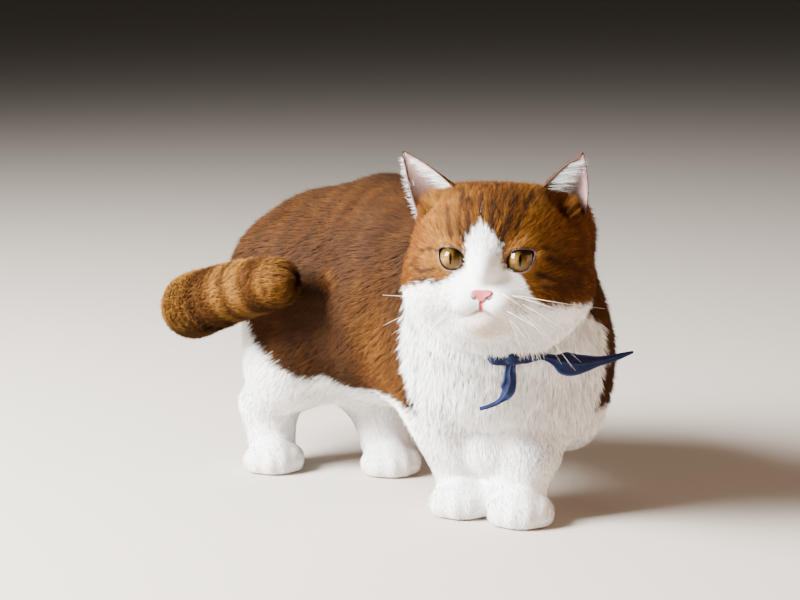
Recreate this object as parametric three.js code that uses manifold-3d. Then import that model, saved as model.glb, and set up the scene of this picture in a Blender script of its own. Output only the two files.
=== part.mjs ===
// A short-legged munchkin cat standing still, as a life-size museum model: forequarters and head turned to
// its right, tail curled round its right haunch, and a rolled kerchief tied round its neck.
// Millimetres, +Z up. The hindquarters face -Y and the cat's left is +X. The paws stand on the plane Z = 0.
import * as THREE from "three";
import { mergeVertices } from "three/addons/utils/BufferGeometryUtils.js";
import Module from "manifold-3d";

const wasm = await Module();
wasm.setup();

// Driving dimensions
const GAP = 0.3; // between two nodes that touch
const BODY_CELL = 9.2; // grid of the trunk and legs
const CHEST_WIDTH = 128; // over the coat
const BACK_HEIGHT = 203; // floor to the top of the back
const CHEST_CLEARANCE = 34; // floor to the breast
const HEAD_WIDTH = 115; // over the cheeks
const HEAD_HEIGHT = 167; // floor to the middle of the head
const EYE_RADIUS = 10.2;
const EYE_SPACING = 38; // between the pupils
const EYE_OPENING = [16.4, 13.4]; // between the corners and between the lids
const EAR_WIDTH = 30; // at the skull
const NOSE_WIDTH = 13;
const MOUTH_WIDTH = 27; // between the corners
const PAW_WIDTH = 34;
const PAW_LENGTH = 42;
const LEG_CUT = 57; // floor to the parting of the legs and the trunk
const TAIL_RADIUS = 22;
const TAIL_ROOT = 0.17; // share of the tail's path inside the rump
const SCARF_RADIUS = 4.6; // of the roll round the neck
const NECK_LENGTH = 17; // between the head and the trunk

const vec = (x, y, z) => new THREE.Vector3(x, y, z);
const rad = THREE.MathUtils.degToRad;
const mix = THREE.MathUtils.lerp;

// Seats: a place on the cat with axes left, back and up, turned to the cat's right, nose lifted and rolled.
function seat(origin, turn = 0, lift = 0, roll = 0) {
  const axes = new THREE.Matrix4()
    .makeRotationZ(rad(-turn))
    .multiply(new THREE.Matrix4().makeRotationX(rad(-lift)))
    .multiply(new THREE.Matrix4().makeRotationY(rad(roll)));
  const frame = axes.clone().setPosition(origin);
  return {
    frame,
    at: (left, back, up) => vec(left, back, up).applyMatrix4(frame),
    along: (left, back, up) => vec(left, back, up).transformDirection(axes),
  };
}

const HEAD_TURN = 57;
const HEAD_LIFT = 3;
const headPoint = vec(-25.6, -107.7, HEAD_HEIGHT);
const chest = seat(vec(22, -64, (BACK_HEIGHT + CHEST_CLEARANCE) / 2), 38);
const middle = seat(vec(20, 18, 122), 16);
const hips = seat(vec(7, 84, 112), 4);
const head = seat(headPoint, HEAD_TURN, HEAD_LIFT);
const muzzle = seat(headPoint, HEAD_TURN, HEAD_LIFT - 17);

// Masses: each is a function of x, y and z that is below zero inside, in about millimetres.
function egg(place, [left, back, up], [wide, long, tall], tilt = 0) {
  const own = place.frame
    .clone()
    .multiply(new THREE.Matrix4().makeTranslation(left, back, up))
    .multiply(new THREE.Matrix4().makeRotationX(rad(tilt)));
  const m = own.invert().elements;
  return (x, y, z) => {
    const a = (m[0] * x + m[4] * y + m[8] * z + m[12]) / wide;
    const b = (m[1] * x + m[5] * y + m[9] * z + m[13]) / long;
    const c = (m[2] * x + m[6] * y + m[10] * z + m[14]) / tall;
    const reach = Math.hypot(a, b, c);
    return (reach * (reach - 1)) / Math.max(Math.hypot(a / wide, b / long, c / tall), 1e-9);
  };
}

function limb(from, to, thick, thin) {
  const axis = to.clone().sub(from);
  const span = axis.lengthSq();
  return (x, y, z) => {
    const px = x - from.x;
    const py = y - from.y;
    const pz = z - from.z;
    const t = THREE.MathUtils.clamp((px * axis.x + py * axis.y + pz * axis.z) / span, 0, 1);
    return Math.hypot(px - t * axis.x, py - t * axis.y, pz - t * axis.z) - mix(thick, thin, t);
  };
}

// Two masses melt together over a width.
function melt(a, b, width) {
  const near = Math.max(width - Math.abs(a - b), 0) / width;
  return Math.min(a, b) - (near * near * width) / 4;
}

const blend = (masses, width) => (x, y, z) =>
  masses.reduce((sum, mass) => melt(sum, mass(x, y, z), width), 1e3);

// Trunk
const RIB_WIDTH = CHEST_WIDTH / 2;
const RIB_HEIGHT = (BACK_HEIGHT - CHEST_CLEARANCE) / 2;
const trunk = blend(
  [
    egg(chest, [0, 10, 0], [RIB_WIDTH, 64, RIB_HEIGHT - 2]),
    egg(chest, [0, -32, -6], [RIB_WIDTH * 0.8, 34, RIB_HEIGHT * 0.64]),
    egg(chest, [-8, -46, -4], [40, 30, 50]),
    egg(middle, [0, -36, 8], [60, 54, 68]),
    egg(middle, [0, 14, 4], [63, 72, 77]),
    egg(hips, [0, 0, 6], [47, 54, 70]),
    egg(hips, [-8, 29, 21], [34, 34, 31]),
    egg(hips, [26, 0, -18], [25, 38, 41]),
    egg(hips, [-22, -4, -18], [24, 32, 40]),
    egg(chest, [46, 3, -34], [29, 38, 52]),
    egg(chest, [-38, -4, -28], [26, 34, 46]),
  ],
  26,
);

// Legs: each paw has its own place on the floor and its own heading.
const TOE_RADIUS = PAW_WIDTH * 0.25;
const PALM_HEIGHT = 28;
const legs = {
  leg_front_right: { paw: seat(vec(-9.6, -63.6, 0), 44), top: chest.at(-27, -8, -36), joint: [-2, 8, 40] },
  leg_front_left: { paw: seat(vec(-0.8, -105.2, 0), 50), top: chest.at(24, -14, -36), joint: [4, 10, 40] },
  leg_hind_right: { paw: seat(vec(-15.6, 106, 0), 34), top: hips.at(-22, 2, -34), joint: [0, 14, 42] },
  leg_hind_left: { paw: seat(vec(33.2, 44.5, 0), 24), top: hips.at(24, -12, -34), joint: [0, 16, 42] },
};

function legMass({ paw, top, joint }) {
  const wide = PAW_WIDTH / 2;
  const wrist = paw.at(0, 7, PALM_HEIGHT * 0.75);
  return blend(
    [
      limb(top, paw.at(...joint), wide * 1.5, wide * 1.12),
      limb(paw.at(...joint), wrist, wide * 1.12, wide * 1.02),
    ],
    7,
  );
}

const legMasses = Object.values(legs).map(legMass);

// Tail: its root melts into the rump, the rest is swept along the same path.
const tailPath = new THREE.CatmullRomCurve3([
  hips.at(0, 34, 26),
  hips.at(-2, 56, 12),
  vec(-5, 161, 112),
  vec(-27, 167, 106),
  vec(-50, 144, 111),
  vec(-66, 107, 121),
  vec(-67, 68, 133),
  vec(-67, 28, 142),
]);
const TAIL_LENGTH = tailPath.getLength();
const tailRadius = (share) => TAIL_RADIUS * (0.8 + 0.24 * Math.sin(Math.PI * Math.min(share * 1.05, 1)));

const rootPoints = [0, 0.06, 0.12, 0.18, 0.24].map((share) => tailPath.getPointAt(share));
const tailRoot = blend(
  rootPoints
    .slice(1)
    .map((point, i) => limb(rootPoints[i], point, tailRadius(0.06 * i), tailRadius(0.06 * i + 0.06))),
  3,
);

// Neck and head
const throat = blend(
  [limb(chest.at(0, -14, 26), head.at(0, 24, -10), 50, 46), egg(head, [0, -2, -38], [44, 32, 24])],
  20,
);
const CHEEK = HEAD_WIDTH / 2;
const EYE = [EYE_SPACING / 2, -47 + EYE_RADIUS, 0.8];
const skull = blend(
  [
    egg(head, [0, 6, 6], [49, 47, 36.5]),
    egg(head, [26, 2, 20], [21, 20, 18]),
    egg(head, [-26, 2, 20], [21, 20, 18]),
    egg(head, [0, -18, 7], [38, 28, 29]),
    egg(head, [CHEEK - 27, 2, -17], [27, 33, 27]),
    egg(head, [27 - CHEEK, 2, -17], [27, 33, 27]),
    egg(head, [22, -22, -19], [23, 22, 19]),
    egg(head, [-22, -22, -19], [23, 22, 19]),
  ],
  14,
);
const snout = blend(
  [
    egg(head, [0, -30, -22], [27, 24, 19]),
    egg(head, [0, -37, -5], [11, 21, 15], -8),
    egg(head, [8.5, -46, -23.5], [11.5, 13, 9]),
    egg(head, [-8.5, -46, -23.5], [11.5, 13, 9]),
    egg(head, [0, -44, -34], [11, 11, 7]),
  ],
  6,
);
const orbits = blend(
  [egg(head, [EYE[0], -33, EYE[2] + 1], [15, 11, 14]), egg(head, [-EYE[0], -33, EYE[2] + 1], [15, 11, 14])],
  4,
);

function body(x, y, z) {
  const trunkAndNeck = melt(trunk(x, y, z), throat(x, y, z), 26);
  const tailed = melt(trunkAndNeck, tailRoot(x, y, z), 14);
  return legMasses.reduce((sum, leg) => melt(sum, leg(x, y, z), 12), tailed);
}

function cat(x, y, z) {
  const face = melt(melt(skull(x, y, z), snout(x, y, z), 8), orbits(x, y, z), 6);
  return melt(body(x, y, z), face, 10);
}

// Surfaces
// Moves every vertex of a shape.
function shaped(geometry, move) {
  const points = geometry.getAttribute("position");
  for (let n = 0; n < points.count; n++) {
    const p = move(points.getX(n), points.getY(n), points.getZ(n));
    points.setXYZ(n, p.x, p.y, p.z);
  }
  return geometry;
}

// Pulls a point on to the zero of a field along the field's slope.
function settle(field, p, steps = 3) {
  const d = 0.05;
  for (let i = 0; i < steps; i++) {
    const value = field(p.x, p.y, p.z);
    const slope = vec(
      field(p.x + d, p.y, p.z) - field(p.x - d, p.y, p.z),
      field(p.x, p.y + d, p.z) - field(p.x, p.y - d, p.z),
      field(p.x, p.y, p.z + d) - field(p.x, p.y, p.z - d),
    ).divideScalar(2 * d);
    p.addScaledVector(slope, -value / Math.max(slope.lengthSq(), 0.2));
  }
  return p;
}

// The closed surface of a field inside a box: one vertex for each cell that the surface crosses, and one
// four-sided face for each grid edge that it crosses.
function shellOf(field, box, cell) {
  const [nx, ny, nz] = box
    .getSize(vec(0, 0, 0))
    .toArray()
    .map((s) => Math.ceil(s / cell) + 1);
  const values = new Float32Array(nx * ny * nz);
  const index = (i, j, k) => (k * ny + j) * nx + i;
  for (let k = 0; k < nz; k++)
    for (let j = 0; j < ny; j++)
      for (let i = 0; i < nx; i++)
        values[index(i, j, k)] = field(box.min.x + i * cell, box.min.y + j * cell, box.min.z + k * cell);

  const AXES = [
    [0, 1, 2],
    [1, 2, 0],
    [2, 0, 1],
  ];
  const positions = [];
  const known = new Map();
  function vertex(i, j, k) {
    const key = index(i, j, k);
    if (known.has(key)) return known.get(key);
    const sum = vec(0, 0, 0);
    let crossings = 0;
    for (const [axis, u, v] of AXES)
      for (let corner = 0; corner < 4; corner++) {
        const low = [i, j, k];
        low[u] += corner & 1;
        low[v] += corner >> 1;
        const high = [...low];
        high[axis] += 1;
        const a = values[index(...low)];
        const b = values[index(...high)];
        if (a < 0 === b < 0) continue;
        low[axis] += a / (a - b);
        sum.add(vec(...low));
        crossings++;
      }
    const p = settle(field, sum.divideScalar(crossings).multiplyScalar(cell).add(box.min));
    known.set(key, positions.length / 3);
    positions.push(p.x, p.y, p.z);
    return known.get(key);
  }

  const faces = [];
  const apart = (a, b) => Math.hypot(...[0, 1, 2].map((n) => positions[3 * a + n] - positions[3 * b + n]));
  for (let k = 1; k < nz - 1; k++)
    for (let j = 1; j < ny - 1; j++)
      for (let i = 1; i < nx - 1; i++)
        for (const [axis, u, v] of AXES) {
          const end = [i, j, k];
          end[axis] += 1;
          const a = values[index(i, j, k)];
          const b = values[index(...end)];
          if (a < 0 === b < 0) continue;
          const ring = [0, 1, 2, 3].map((corner) => {
            const low = [i, j, k];
            low[u] -= corner === 1 || corner === 2 ? 1 : 0;
            low[v] -= corner > 1 ? 1 : 0;
            return vertex(...low);
          });
          if (a >= 0) ring.reverse();
          const [p, q, r, s] = ring;
          if (apart(p, r) < apart(q, s)) faces.push(p, q, r, p, r, s);
          else faces.push(p, q, s, q, r, s);
        }
  return new THREE.BufferGeometry()
    .setAttribute("position", new THREE.Float32BufferAttribute(positions, 3))
    .setIndex(faces);
}

// A closed surface seen from one place: each direction of a sphere, its pole forwards, is followed outwards
// to where the field ends. The rings stand closer near the pole.
function globeOf(field, place, sectors, rings, crowding, longest) {
  const from = place.at(0, 0, 0);
  return shaped(new THREE.SphereGeometry(1, sectors, rings), (x, y, z) => {
    const polar = Math.acos(THREE.MathUtils.clamp(y, -1, 1)) / Math.PI;
    const bent = Math.PI * polar * mix(1 - crowding, 1, polar);
    const round = Math.atan2(z, x);
    const aside = Math.sin(bent);
    const way = place.along(aside * Math.cos(round), -Math.cos(bent), aside * Math.sin(round));
    const inside = (reach) => field(...from.clone().addScaledVector(way, reach).toArray()) < 0;
    let far = 3;
    while (far < longest && inside(far)) far += 1.5;
    let near = far - 1.5;
    for (let i = 0; i < 12 && far < longest; i++) {
      const half = (near + far) / 2;
      if (inside(half)) near = half;
      else far = half;
    }
    return from.clone().addScaledVector(way, Math.min(far, longest));
  });
}

// Solids
// A shape's faces as a solid, with the ones that have shrunk to a line left out.
function solid(geometry) {
  const bare = new THREE.BufferGeometry()
    .setAttribute("position", geometry.getAttribute("position"))
    .setIndex(geometry.index);
  const merged = mergeVertices(bare, 1e-4);
  const corners = [...merged.index.array];
  const faces = [];
  for (let n = 0; n < corners.length; n += 3) {
    const [a, b, c] = corners.slice(n, n + 3);
    if (a !== b && b !== c && c !== a) faces.push(a, b, c);
  }
  const vertProperties = new Float32Array(merged.getAttribute("position").array);
  const make = (order) =>
    new wasm.Manifold(new wasm.Mesh({ numProp: 3, vertProperties, triVerts: new Uint32Array(order) }));
  const body = make(faces);
  return body.volume() > 0 ? body : make(faces.reverse());
}

function geometryOf(body) {
  const mesh = body.getMesh();
  return new THREE.BufferGeometry()
    .setAttribute("position", new THREE.BufferAttribute(mesh.vertProperties, 3))
    .setIndex(new THREE.BufferAttribute(mesh.triVerts, 1));
}

const largest = (body) => body.decompose().reduce((a, b) => (b.volume() > a.volume() ? b : a));

// Keeps what lies ahead of a plane through a point, less half the gap.
function ahead(body, point, way) {
  const n = way.clone().normalize();
  return body.trimByPlane(n.toArray(), n.dot(point) + GAP / 2);
}

const behind = (body, point, way) => ahead(body, point, way.clone().negate());

const part = new THREE.Group();
function node(name, body, colour, roughness = 0.9) {
  const mesh = new THREE.Mesh(
    geometryOf(largest(body)),
    new THREE.MeshStandardMaterial({ color: colour, roughness, metalness: 0 }),
  );
  mesh.name = name;
  part.add(mesh);
}

const ORANGE = "#b06a34";
const WHITE = "#ece8e0";
const EAR_COLOUR = "#c08562";
const AMBER = "#8a6a24";
const PINK = "#d98d86";
const DENIM = "#34466f";

// Trunk, neck and legs
const floor = solid(new THREE.BoxGeometry(700, 700, 100).translate(0, 0, -50));
const whole = solid(
  shellOf(body, new THREE.Box3(vec(-100, -185, -20), vec(108, 215, 222)), BODY_CELL),
).subtract(floor);

const neckWay = vec(-0.563, -0.563, 0.601).normalize();
const scarfPoint = vec(-16, -106, 153);
const neckFront = scarfPoint.clone().addScaledVector(neckWay, NECK_LENGTH / 2);
const neckBack = scarfPoint.clone().addScaledVector(neckWay, -NECK_LENGTH / 2);
const rear = behind(whole, neckBack, neckWay);

function legCut({ paw, top, joint }, grow) {
  const knee = paw.at(...joint);
  const end = knee.clone().lerp(top, (LEG_CUT - knee.z) / (top.z - knee.z));
  const start = paw.at(0, 0, -10);
  const height = end.distanceTo(start) + grow;
  const lie = new THREE.Quaternion().setFromUnitVectors(vec(0, 1, 0), end.clone().sub(start).normalize());
  return solid(
    new THREE.CylinderGeometry(29 + grow, 26 + grow, height, 20)
      .translate(0, height / 2, 0)
      .applyQuaternion(lie)
      .translate(...start.toArray()),
  );
}

function withPaw(leg, { paw }) {
  const pad = new THREE.SphereGeometry(1, 14, 8)
    .rotateX(Math.PI / 2)
    .scale((PAW_WIDTH / 2) * 0.98, PAW_LENGTH * 0.5, PALM_HEIGHT * 0.75)
    .translate(0, -1, PALM_HEIGHT * 0.22);
  const toes = [-1.5, -0.5, 0.5, 1.5].map((side) =>
    new THREE.SphereGeometry(1, 8, 6)
      .rotateX(Math.PI / 2)
      .scale(TOE_RADIUS, TOE_RADIUS * 1.5, TOE_RADIUS * 1.2)
      .rotateZ(rad(-9 * side))
      .translate(side * TOE_RADIUS * 0.98, -PAW_LENGTH * (0.3 - 0.05 * side * side), TOE_RADIUS * 0.85),
  );
  return [pad, ...toes].reduce((sum, shape) => sum.add(solid(shape.applyMatrix4(paw.frame))), leg);
}

const pairs = [
  ["leg_front_right", "leg_front_left"],
  ["leg_hind_right", "leg_hind_left"],
];
let torso = rear;
for (const [right, left] of pairs) {
  const from = legs[right].paw.at(0, 0, 0);
  const to = legs[left].paw.at(0, 0, 0);
  const way = to.clone().sub(from);
  const midpoint = from.lerp(to, 0.5);
  const cut = legCut(legs[right], 0).add(legCut(legs[left], 0));
  torso = torso.subtract(legCut(legs[right], GAP).add(legCut(legs[left], GAP)));
  for (const name of [right, left]) {
    const side = name === left ? way : way.clone().negate();
    const leg = largest(ahead(rear.intersect(cut), midpoint, side));
    node(name, ahead(withPaw(leg, legs[name]), midpoint, side).subtract(floor), WHITE);
  }
}

const tailRootPoint = tailPath.getPointAt(TAIL_ROOT);
const tailRootWay = tailPath.getTangentAt(TAIL_ROOT);
const tailBox = solid(new THREE.BoxGeometry(140, 112, 140).translate(-10, 184, 130));
torso = torso.subtract(
  ahead(tailBox, tailRootPoint.clone().addScaledVector(tailRootWay, -GAP), tailRootWay),
);
node("torso", torso, ORANGE);

// A round rod along a path, its ends closed. The radius and the share of the path are functions of the share
// of its own length.
function rod(path, sides, rows, radiusAt, shareAt = (s) => s) {
  return solid(
    shaped(new THREE.CylinderGeometry(1, 1, 1, sides, rows), (x, y, z) => {
      const share = shareAt(y + 0.5);
      const radius = radiusAt(y + 0.5) * Math.hypot(x, z);
      const way = path.getTangentAt(share);
      const side = way.clone().cross(vec(0, 0, 1)).normalize();
      const above = side.clone().cross(way);
      const angle = Math.atan2(z, x);
      return path
        .getPointAt(share)
        .addScaledVector(side, radius * Math.cos(angle))
        .addScaledVector(above, radius * Math.sin(angle));
    }),
  );
}

// Tail
function tailLength(from, to, rows, closed) {
  const start = from + GAP / 2 / TAIL_LENGTH;
  const end = to - GAP / 2 / TAIL_LENGTH;
  const dome = closed ? (tailRadius(to) * 1.05) / TAIL_LENGTH : 0;
  const straight = closed ? 0.55 : 1;
  const turn = (s) => (Math.max(s - straight, 0) / Math.max(1 - straight, 1e-6)) * (Math.PI / 2);
  const shareAt = (s) =>
    Math.min(mix(start, end - dome, Math.min(s / straight, 1)) + dome * Math.sin(turn(s)), 1);
  return rod(tailPath, 16, rows, (s) => tailRadius(shareAt(s)) * Math.cos(turn(s)), shareAt);
}

node("tail_base", tailLength(TAIL_ROOT, 0.45, 7, false), ORANGE);
node("tail_middle", tailLength(0.45, 0.72, 6, false), ORANGE);
node("tail_tip", tailLength(0.72, 1, 9, true), ORANGE);

// Head
const HEAD_GRID = [50, 36, 0.34, 84];
const headGlobe = solid(globeOf(cat, muzzle, ...HEAD_GRID));
const grownGlobe = solid(globeOf((x, y, z) => cat(x, y, z) - GAP, muzzle, ...HEAD_GRID));
const proudGlobe = solid(globeOf((x, y, z) => cat(x, y, z) - 0.9, muzzle, ...HEAD_GRID));
let headBody = ahead(headGlobe, neckFront, neckWay);

// The front of an eyeball with a flat back, looking along -Y.
function eyeBall(radius, depth) {
  const widest = Math.PI / 2 + Math.asin(depth / radius);
  const profile = [new THREE.Vector2(0, -depth)];
  for (let n = 0; n <= 7; n++) {
    const polar = widest * (1 - n / 7);
    profile.push(new THREE.Vector2(radius * Math.sin(polar), radius * Math.cos(polar)));
  }
  return new THREE.LatheGeometry(profile, 20).rotateX(Math.PI);
}

// The opening between the lids, its outer corner high and its inner corner low.
function almond(side) {
  const [wide, tall] = EYE_OPENING.map((size) => size / 2);
  const outline = new THREE.Shape();
  outline.moveTo(-wide, -tall * 0.35);
  outline.bezierCurveTo(-wide * 0.88, tall * 0.45, -wide * 0.5, tall * 0.92, 0.6, tall * 0.98);
  outline.bezierCurveTo(wide * 0.5, tall * 1.03, wide * 0.9, tall * 1.04, wide, tall * 0.76);
  outline.bezierCurveTo(wide, tall * 0.2, wide * 0.76, -tall, 0.2, -tall);
  outline.bezierCurveTo(-wide * 0.5, -tall, -wide * 0.9, -tall * 0.8, -wide, -tall * 0.35);
  return new THREE.ExtrudeGeometry(outline, { depth: 30, bevelEnabled: false, curveSegments: 6 })
    .rotateX(Math.PI / 2)
    .scale(side, 1, 1);
}

for (const [name, side] of [
  ["eye_right", -1],
  ["eye_left", 1],
]) {
  const gaze = seat(head.at(side * EYE[0], EYE[1], EYE[2]), HEAD_TURN - side * 7, HEAD_LIFT + 2);
  const placed = (geometry) => solid(geometry.applyMatrix4(gaze.frame));
  headBody = headBody
    .add(placed(eyeBall(EYE_RADIUS + 1.3, 1)))
    .subtract(placed(eyeBall(EYE_RADIUS + GAP, 2 + GAP)))
    .subtract(placed(almond(side)));
  node(name, placed(eyeBall(EYE_RADIUS, 2)), AMBER, 0.15);
}

// Nose leather with two nostrils
function noseShape(grow) {
  const half = NOSE_WIDTH / 2 + grow;
  const outline = new THREE.Shape();
  outline.moveTo(0, 2.6 + grow);
  outline.bezierCurveTo(half * 0.5, 3.2 + grow, half, 2.6 + grow, half, 0.8);
  outline.bezierCurveTo(half * 0.9, -1.2, 2.4 + grow, -2.2, 1.3 + grow, -4.4 - grow);
  outline.lineTo(-1.3 - grow, -4.4 - grow);
  outline.bezierCurveTo(-2.4 - grow, -2.2, -half * 0.9, -1.2, -half, 0.8);
  outline.bezierCurveTo(-half, 2.6 + grow, -half * 0.5, 3.2 + grow, 0, 2.6 + grow);
  return new THREE.ExtrudeGeometry(outline, { depth: 14 + grow, bevelEnabled: false, curveSegments: 5 })
    .rotateX(Math.PI / 2)
    .translate(0, -51 + grow, -17.6)
    .applyMatrix4(head.frame);
}

let nose = solid(noseShape(0)).intersect(proudGlobe);
for (const side of [-1, 1]) {
  const wing = new THREE.CatmullRomCurve3([
    head.at(side * 1.7, -64, -18.3),
    head.at(side * 3.2, -62, -18),
    head.at(side * 5, -59, -17.2),
    head.at(side * 7.5, -55, -16.6),
  ]);
  nose = nose.subtract(rod(wing, 5, 6, () => 1.1));
}
node("nose", nose, PINK, 0.5);

// Line of the mouth between the lips, and the groove below the nose
function cleft(points, steps, radius) {
  const path = new THREE.CatmullRomCurve3(points.map((p) => settle(cat, head.at(...p))));
  return rod(path, 5, steps, () => radius);
}

const lips = [
  [0, -59, -27.8],
  [4, -58, -29.6],
  [9, -54, -31.4],
  [MOUTH_WIDTH / 2, -48, -31.5],
];
const otherLips = lips
  .slice(1)
  .reverse()
  .map(([left, back, up]) => [-left, back, up]);
headBody = headBody
  .subtract(solid(noseShape(GAP)))
  .subtract(cleft([...otherLips, ...lips], 16, 1.1))
  .subtract(
    cleft(
      [
        [0, -61, -21],
        [0, -60, -24.5],
        [0, -59, -28],
      ],
      5,
      0.8,
    ),
  );
node("head", headBody, ORANGE);

// Ears: a cupped leaf between the skull and the tip.
function ear(base, tip, facing) {
  const axis = tip.clone().sub(base);
  const length = axis.length();
  axis.normalize();
  const open = facing.clone().addScaledVector(axis, -facing.dot(axis)).normalize();
  const across = axis.clone().cross(open);
  return solid(
    shaped(new THREE.BoxGeometry(2, 1.35, 1, 8, 8, 1), (x, y, z) => {
      const t = y + 0.325;
      const rise = THREE.MathUtils.clamp(t, 0, 1);
      const wide = Math.max((EAR_WIDTH / 2) * (1 - rise ** 1.5) ** 0.85, 1) * (1 + 0.25 * Math.min(t, 0));
      const arc = rad(mix(104, 38, rise ** 0.8));
      const thick = z < 0 ? mix(2.6, 1.4, rise) * (1 - 0.45 * x * x) : 0;
      const round = wide / Math.sin(arc);
      const reach = round + thick;
      return base
        .clone()
        .addScaledVector(axis, t * length)
        .addScaledVector(across, reach * Math.sin(arc * x))
        .addScaledVector(open, round * Math.cos(arc) - reach * Math.cos(arc * x));
    }),
  );
}

const earRight = ear(head.at(-35.3, -1, 27), head.at(-57.8, 1, 59), head.along(-0.5, -0.84, 0.2));
const earLeft = ear(head.at(35.7, 0, 28), head.at(48.2, 2, 60), head.along(0.25, -0.95, 0.15));
node("ear_right", earRight.subtract(grownGlobe), EAR_COLOUR);
node("ear_left", earLeft.subtract(grownGlobe), EAR_COLOUR);

// Kerchief: a roll in a groove round the neck, a knot under the chin and two folded ends.
const scarfUp = neckWay.clone().cross(vec(0.7071, -0.7071, 0)).normalize();
const scarfSide = scarfUp.clone().cross(neckWay);

// A point round the neck at an angle and a height along it, sunk below the coat's outline at a level.
function roundNeck(angle, height, inset, level = height) {
  const way = scarfSide
    .clone()
    .multiplyScalar(Math.cos(angle))
    .addScaledVector(scarfUp, Math.sin(angle));
  const from = scarfPoint.clone().addScaledVector(neckWay, level);
  let near = 20;
  let far = 100;
  for (let i = 0; i < 16; i++) {
    const half = (near + far) / 2;
    if (body(...from.clone().addScaledVector(way, half).toArray()) < 0) near = half;
    else far = half;
  }
  return from.addScaledVector(neckWay, height - level).addScaledVector(way, near - inset);
}

const KNOT = vec(-39.6, -132.2, 110.4);
const scarfFront = vec(-0.68, -0.72, 0.1).normalize();
const knotShape = (grow) =>
  solid(
    new THREE.SphereGeometry(1, 12, 8)
      .scale(5.6 + grow, 4.6 + grow, 5 + grow)
      .rotateZ(rad(-45))
      .translate(...KNOT.toArray()),
  );

const NECK_SIDES = 36;
const SINK = SCARF_RADIUS * 0.45;
const GROOVE = SCARF_RADIUS + GAP + 0.25;
const neckRows = [
  [-NECK_LENGTH / 2 + GAP / 2, 0],
  [-GROOVE - 0.1, 0],
  [-GROOVE, SINK, 0],
  [-GROOVE * 0.7, SINK + GROOVE * 0.75, 0],
  [0, SINK + GROOVE],
  [GROOVE * 0.7, SINK + GROOVE * 0.75, 0],
  [GROOVE, SINK, 0],
  [GROOVE + 0.1, 0],
  [NECK_LENGTH / 2 - GAP / 2, 0],
];
const neckShape = new THREE.CylinderGeometry(1, 1, 1, NECK_SIDES, neckRows.length - 1);
const neck = shaped(neckShape, (x, y, z) => {
  const [height, inset, level] = neckRows[Math.round((y + 0.5) * (neckRows.length - 1))];
  if (Math.hypot(x, z) > 0.5) return roundNeck(Math.atan2(z, x), height, inset, level);
  return scarfPoint.clone().addScaledVector(neckWay, height);
});
node("neck", solid(neck).subtract(knotShape(GAP)), WHITE);

// The roll: a ring whose sections stand square to the neck.
function collar(grow) {
  const thick = SCARF_RADIUS + grow;
  return solid(
    shaped(new THREE.TorusGeometry(9, 1, 6, NECK_SIDES), (x, y, z) =>
      roundNeck(Math.atan2(y, x), z * thick, SINK - (Math.hypot(x, y) - 9) * thick, 0),
    ),
  );
}

node("scarf_band", collar(0), DENIM);
node("scarf_knot", knotShape(0).subtract(collar(GAP)), DENIM);

// A folded strip of cloth along a path, with its width and its turn given at even steps.
function strip(points, widths, turns, facing) {
  const path = new THREE.CatmullRomCurve3(points);
  const widthAt = new THREE.SplineCurve(widths.map((w, n) => new THREE.Vector2(n, w)));
  const turnAt = new THREE.SplineCurve(turns.map((w, n) => new THREE.Vector2(n, w)));
  return solid(
    shaped(new THREE.BoxGeometry(2, 1, 1, 4, 11, 1), (x, y, z) => {
      const s = THREE.MathUtils.clamp(y + 0.5, 0, 1);
      const way = path.getTangentAt(s);
      const across = way.clone().cross(facing).normalize().applyAxisAngle(way, rad(turnAt.getPoint(s).y));
      const out = across.clone().cross(way);
      const half = widthAt.getPoint(s).y / 2;
      return path
        .getPointAt(s)
        .addScaledVector(across, x * half)
        .addScaledVector(out, z * 1.8 + half * 0.35 * (1 - Math.abs(x)));
    }),
  );
}

const endHanging = strip(
  [
    vec(-38.9, -131, 109),
    vec(-38.5, -129.6, 101.4),
    vec(-36.2, -126.4, 93.2),
    vec(-34.7, -123.4, 87.5),
    vec(-35.8, -118.4, 82),
    vec(-38.4, -113.4, 78.9),
    vec(-41, -108, 76.7),
  ],
  [3, 5, 7.5, 7, 4.2, 3, 1.6],
  [0, 20, -10, 10, 20, 0, 0],
  scarfFront,
);
const endSide = strip(
  [
    vec(-38.8, -132.3, 110.2),
    vec(-31.4, -136.9, 109.2),
    vec(-24.7, -142.2, 110.4),
    vec(-12.9, -152.6, 105.7),
    vec(-4.4, -158.2, 105.8),
    vec(3.9, -162.3, 106.7),
    vec(13, -165.8, 108.1),
    vec(24.4, -170.1, 110.4),
  ],
  [3, 3.6, 4.5, 12.5, 9.5, 5.4, 4, 1.4],
  [0, 0, 0, -10, 5, 15, 10, 0],
  scarfFront,
);
for (const [name, end] of [
  ["scarf_end_hanging", endHanging],
  ["scarf_end_side", endSide],
])
  node(name, end.subtract(knotShape(GAP)).subtract(collar(GAP)), DENIM);

// The middle of the cat's length and width stands over the origin.
const middleOfCat = new THREE.Box3().setFromObject(part).getCenter(vec(0, 0, 0));
for (const mesh of part.children) mesh.position.set(-middleOfCat.x, -middleOfCat.y, 0);

export default part;
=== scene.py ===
"""Dresses a life-size still model of a short-legged munchkin cat: one skin, a coat of short fur tufts,
eyes, nose, whiskers and a rolled kerchief."""

import bmesh
import bpy
import numpy as np
from bpy.props import FloatProperty, FloatVectorProperty, IntProperty, PointerProperty
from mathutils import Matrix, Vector
from mathutils.kdtree import KDTree


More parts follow.
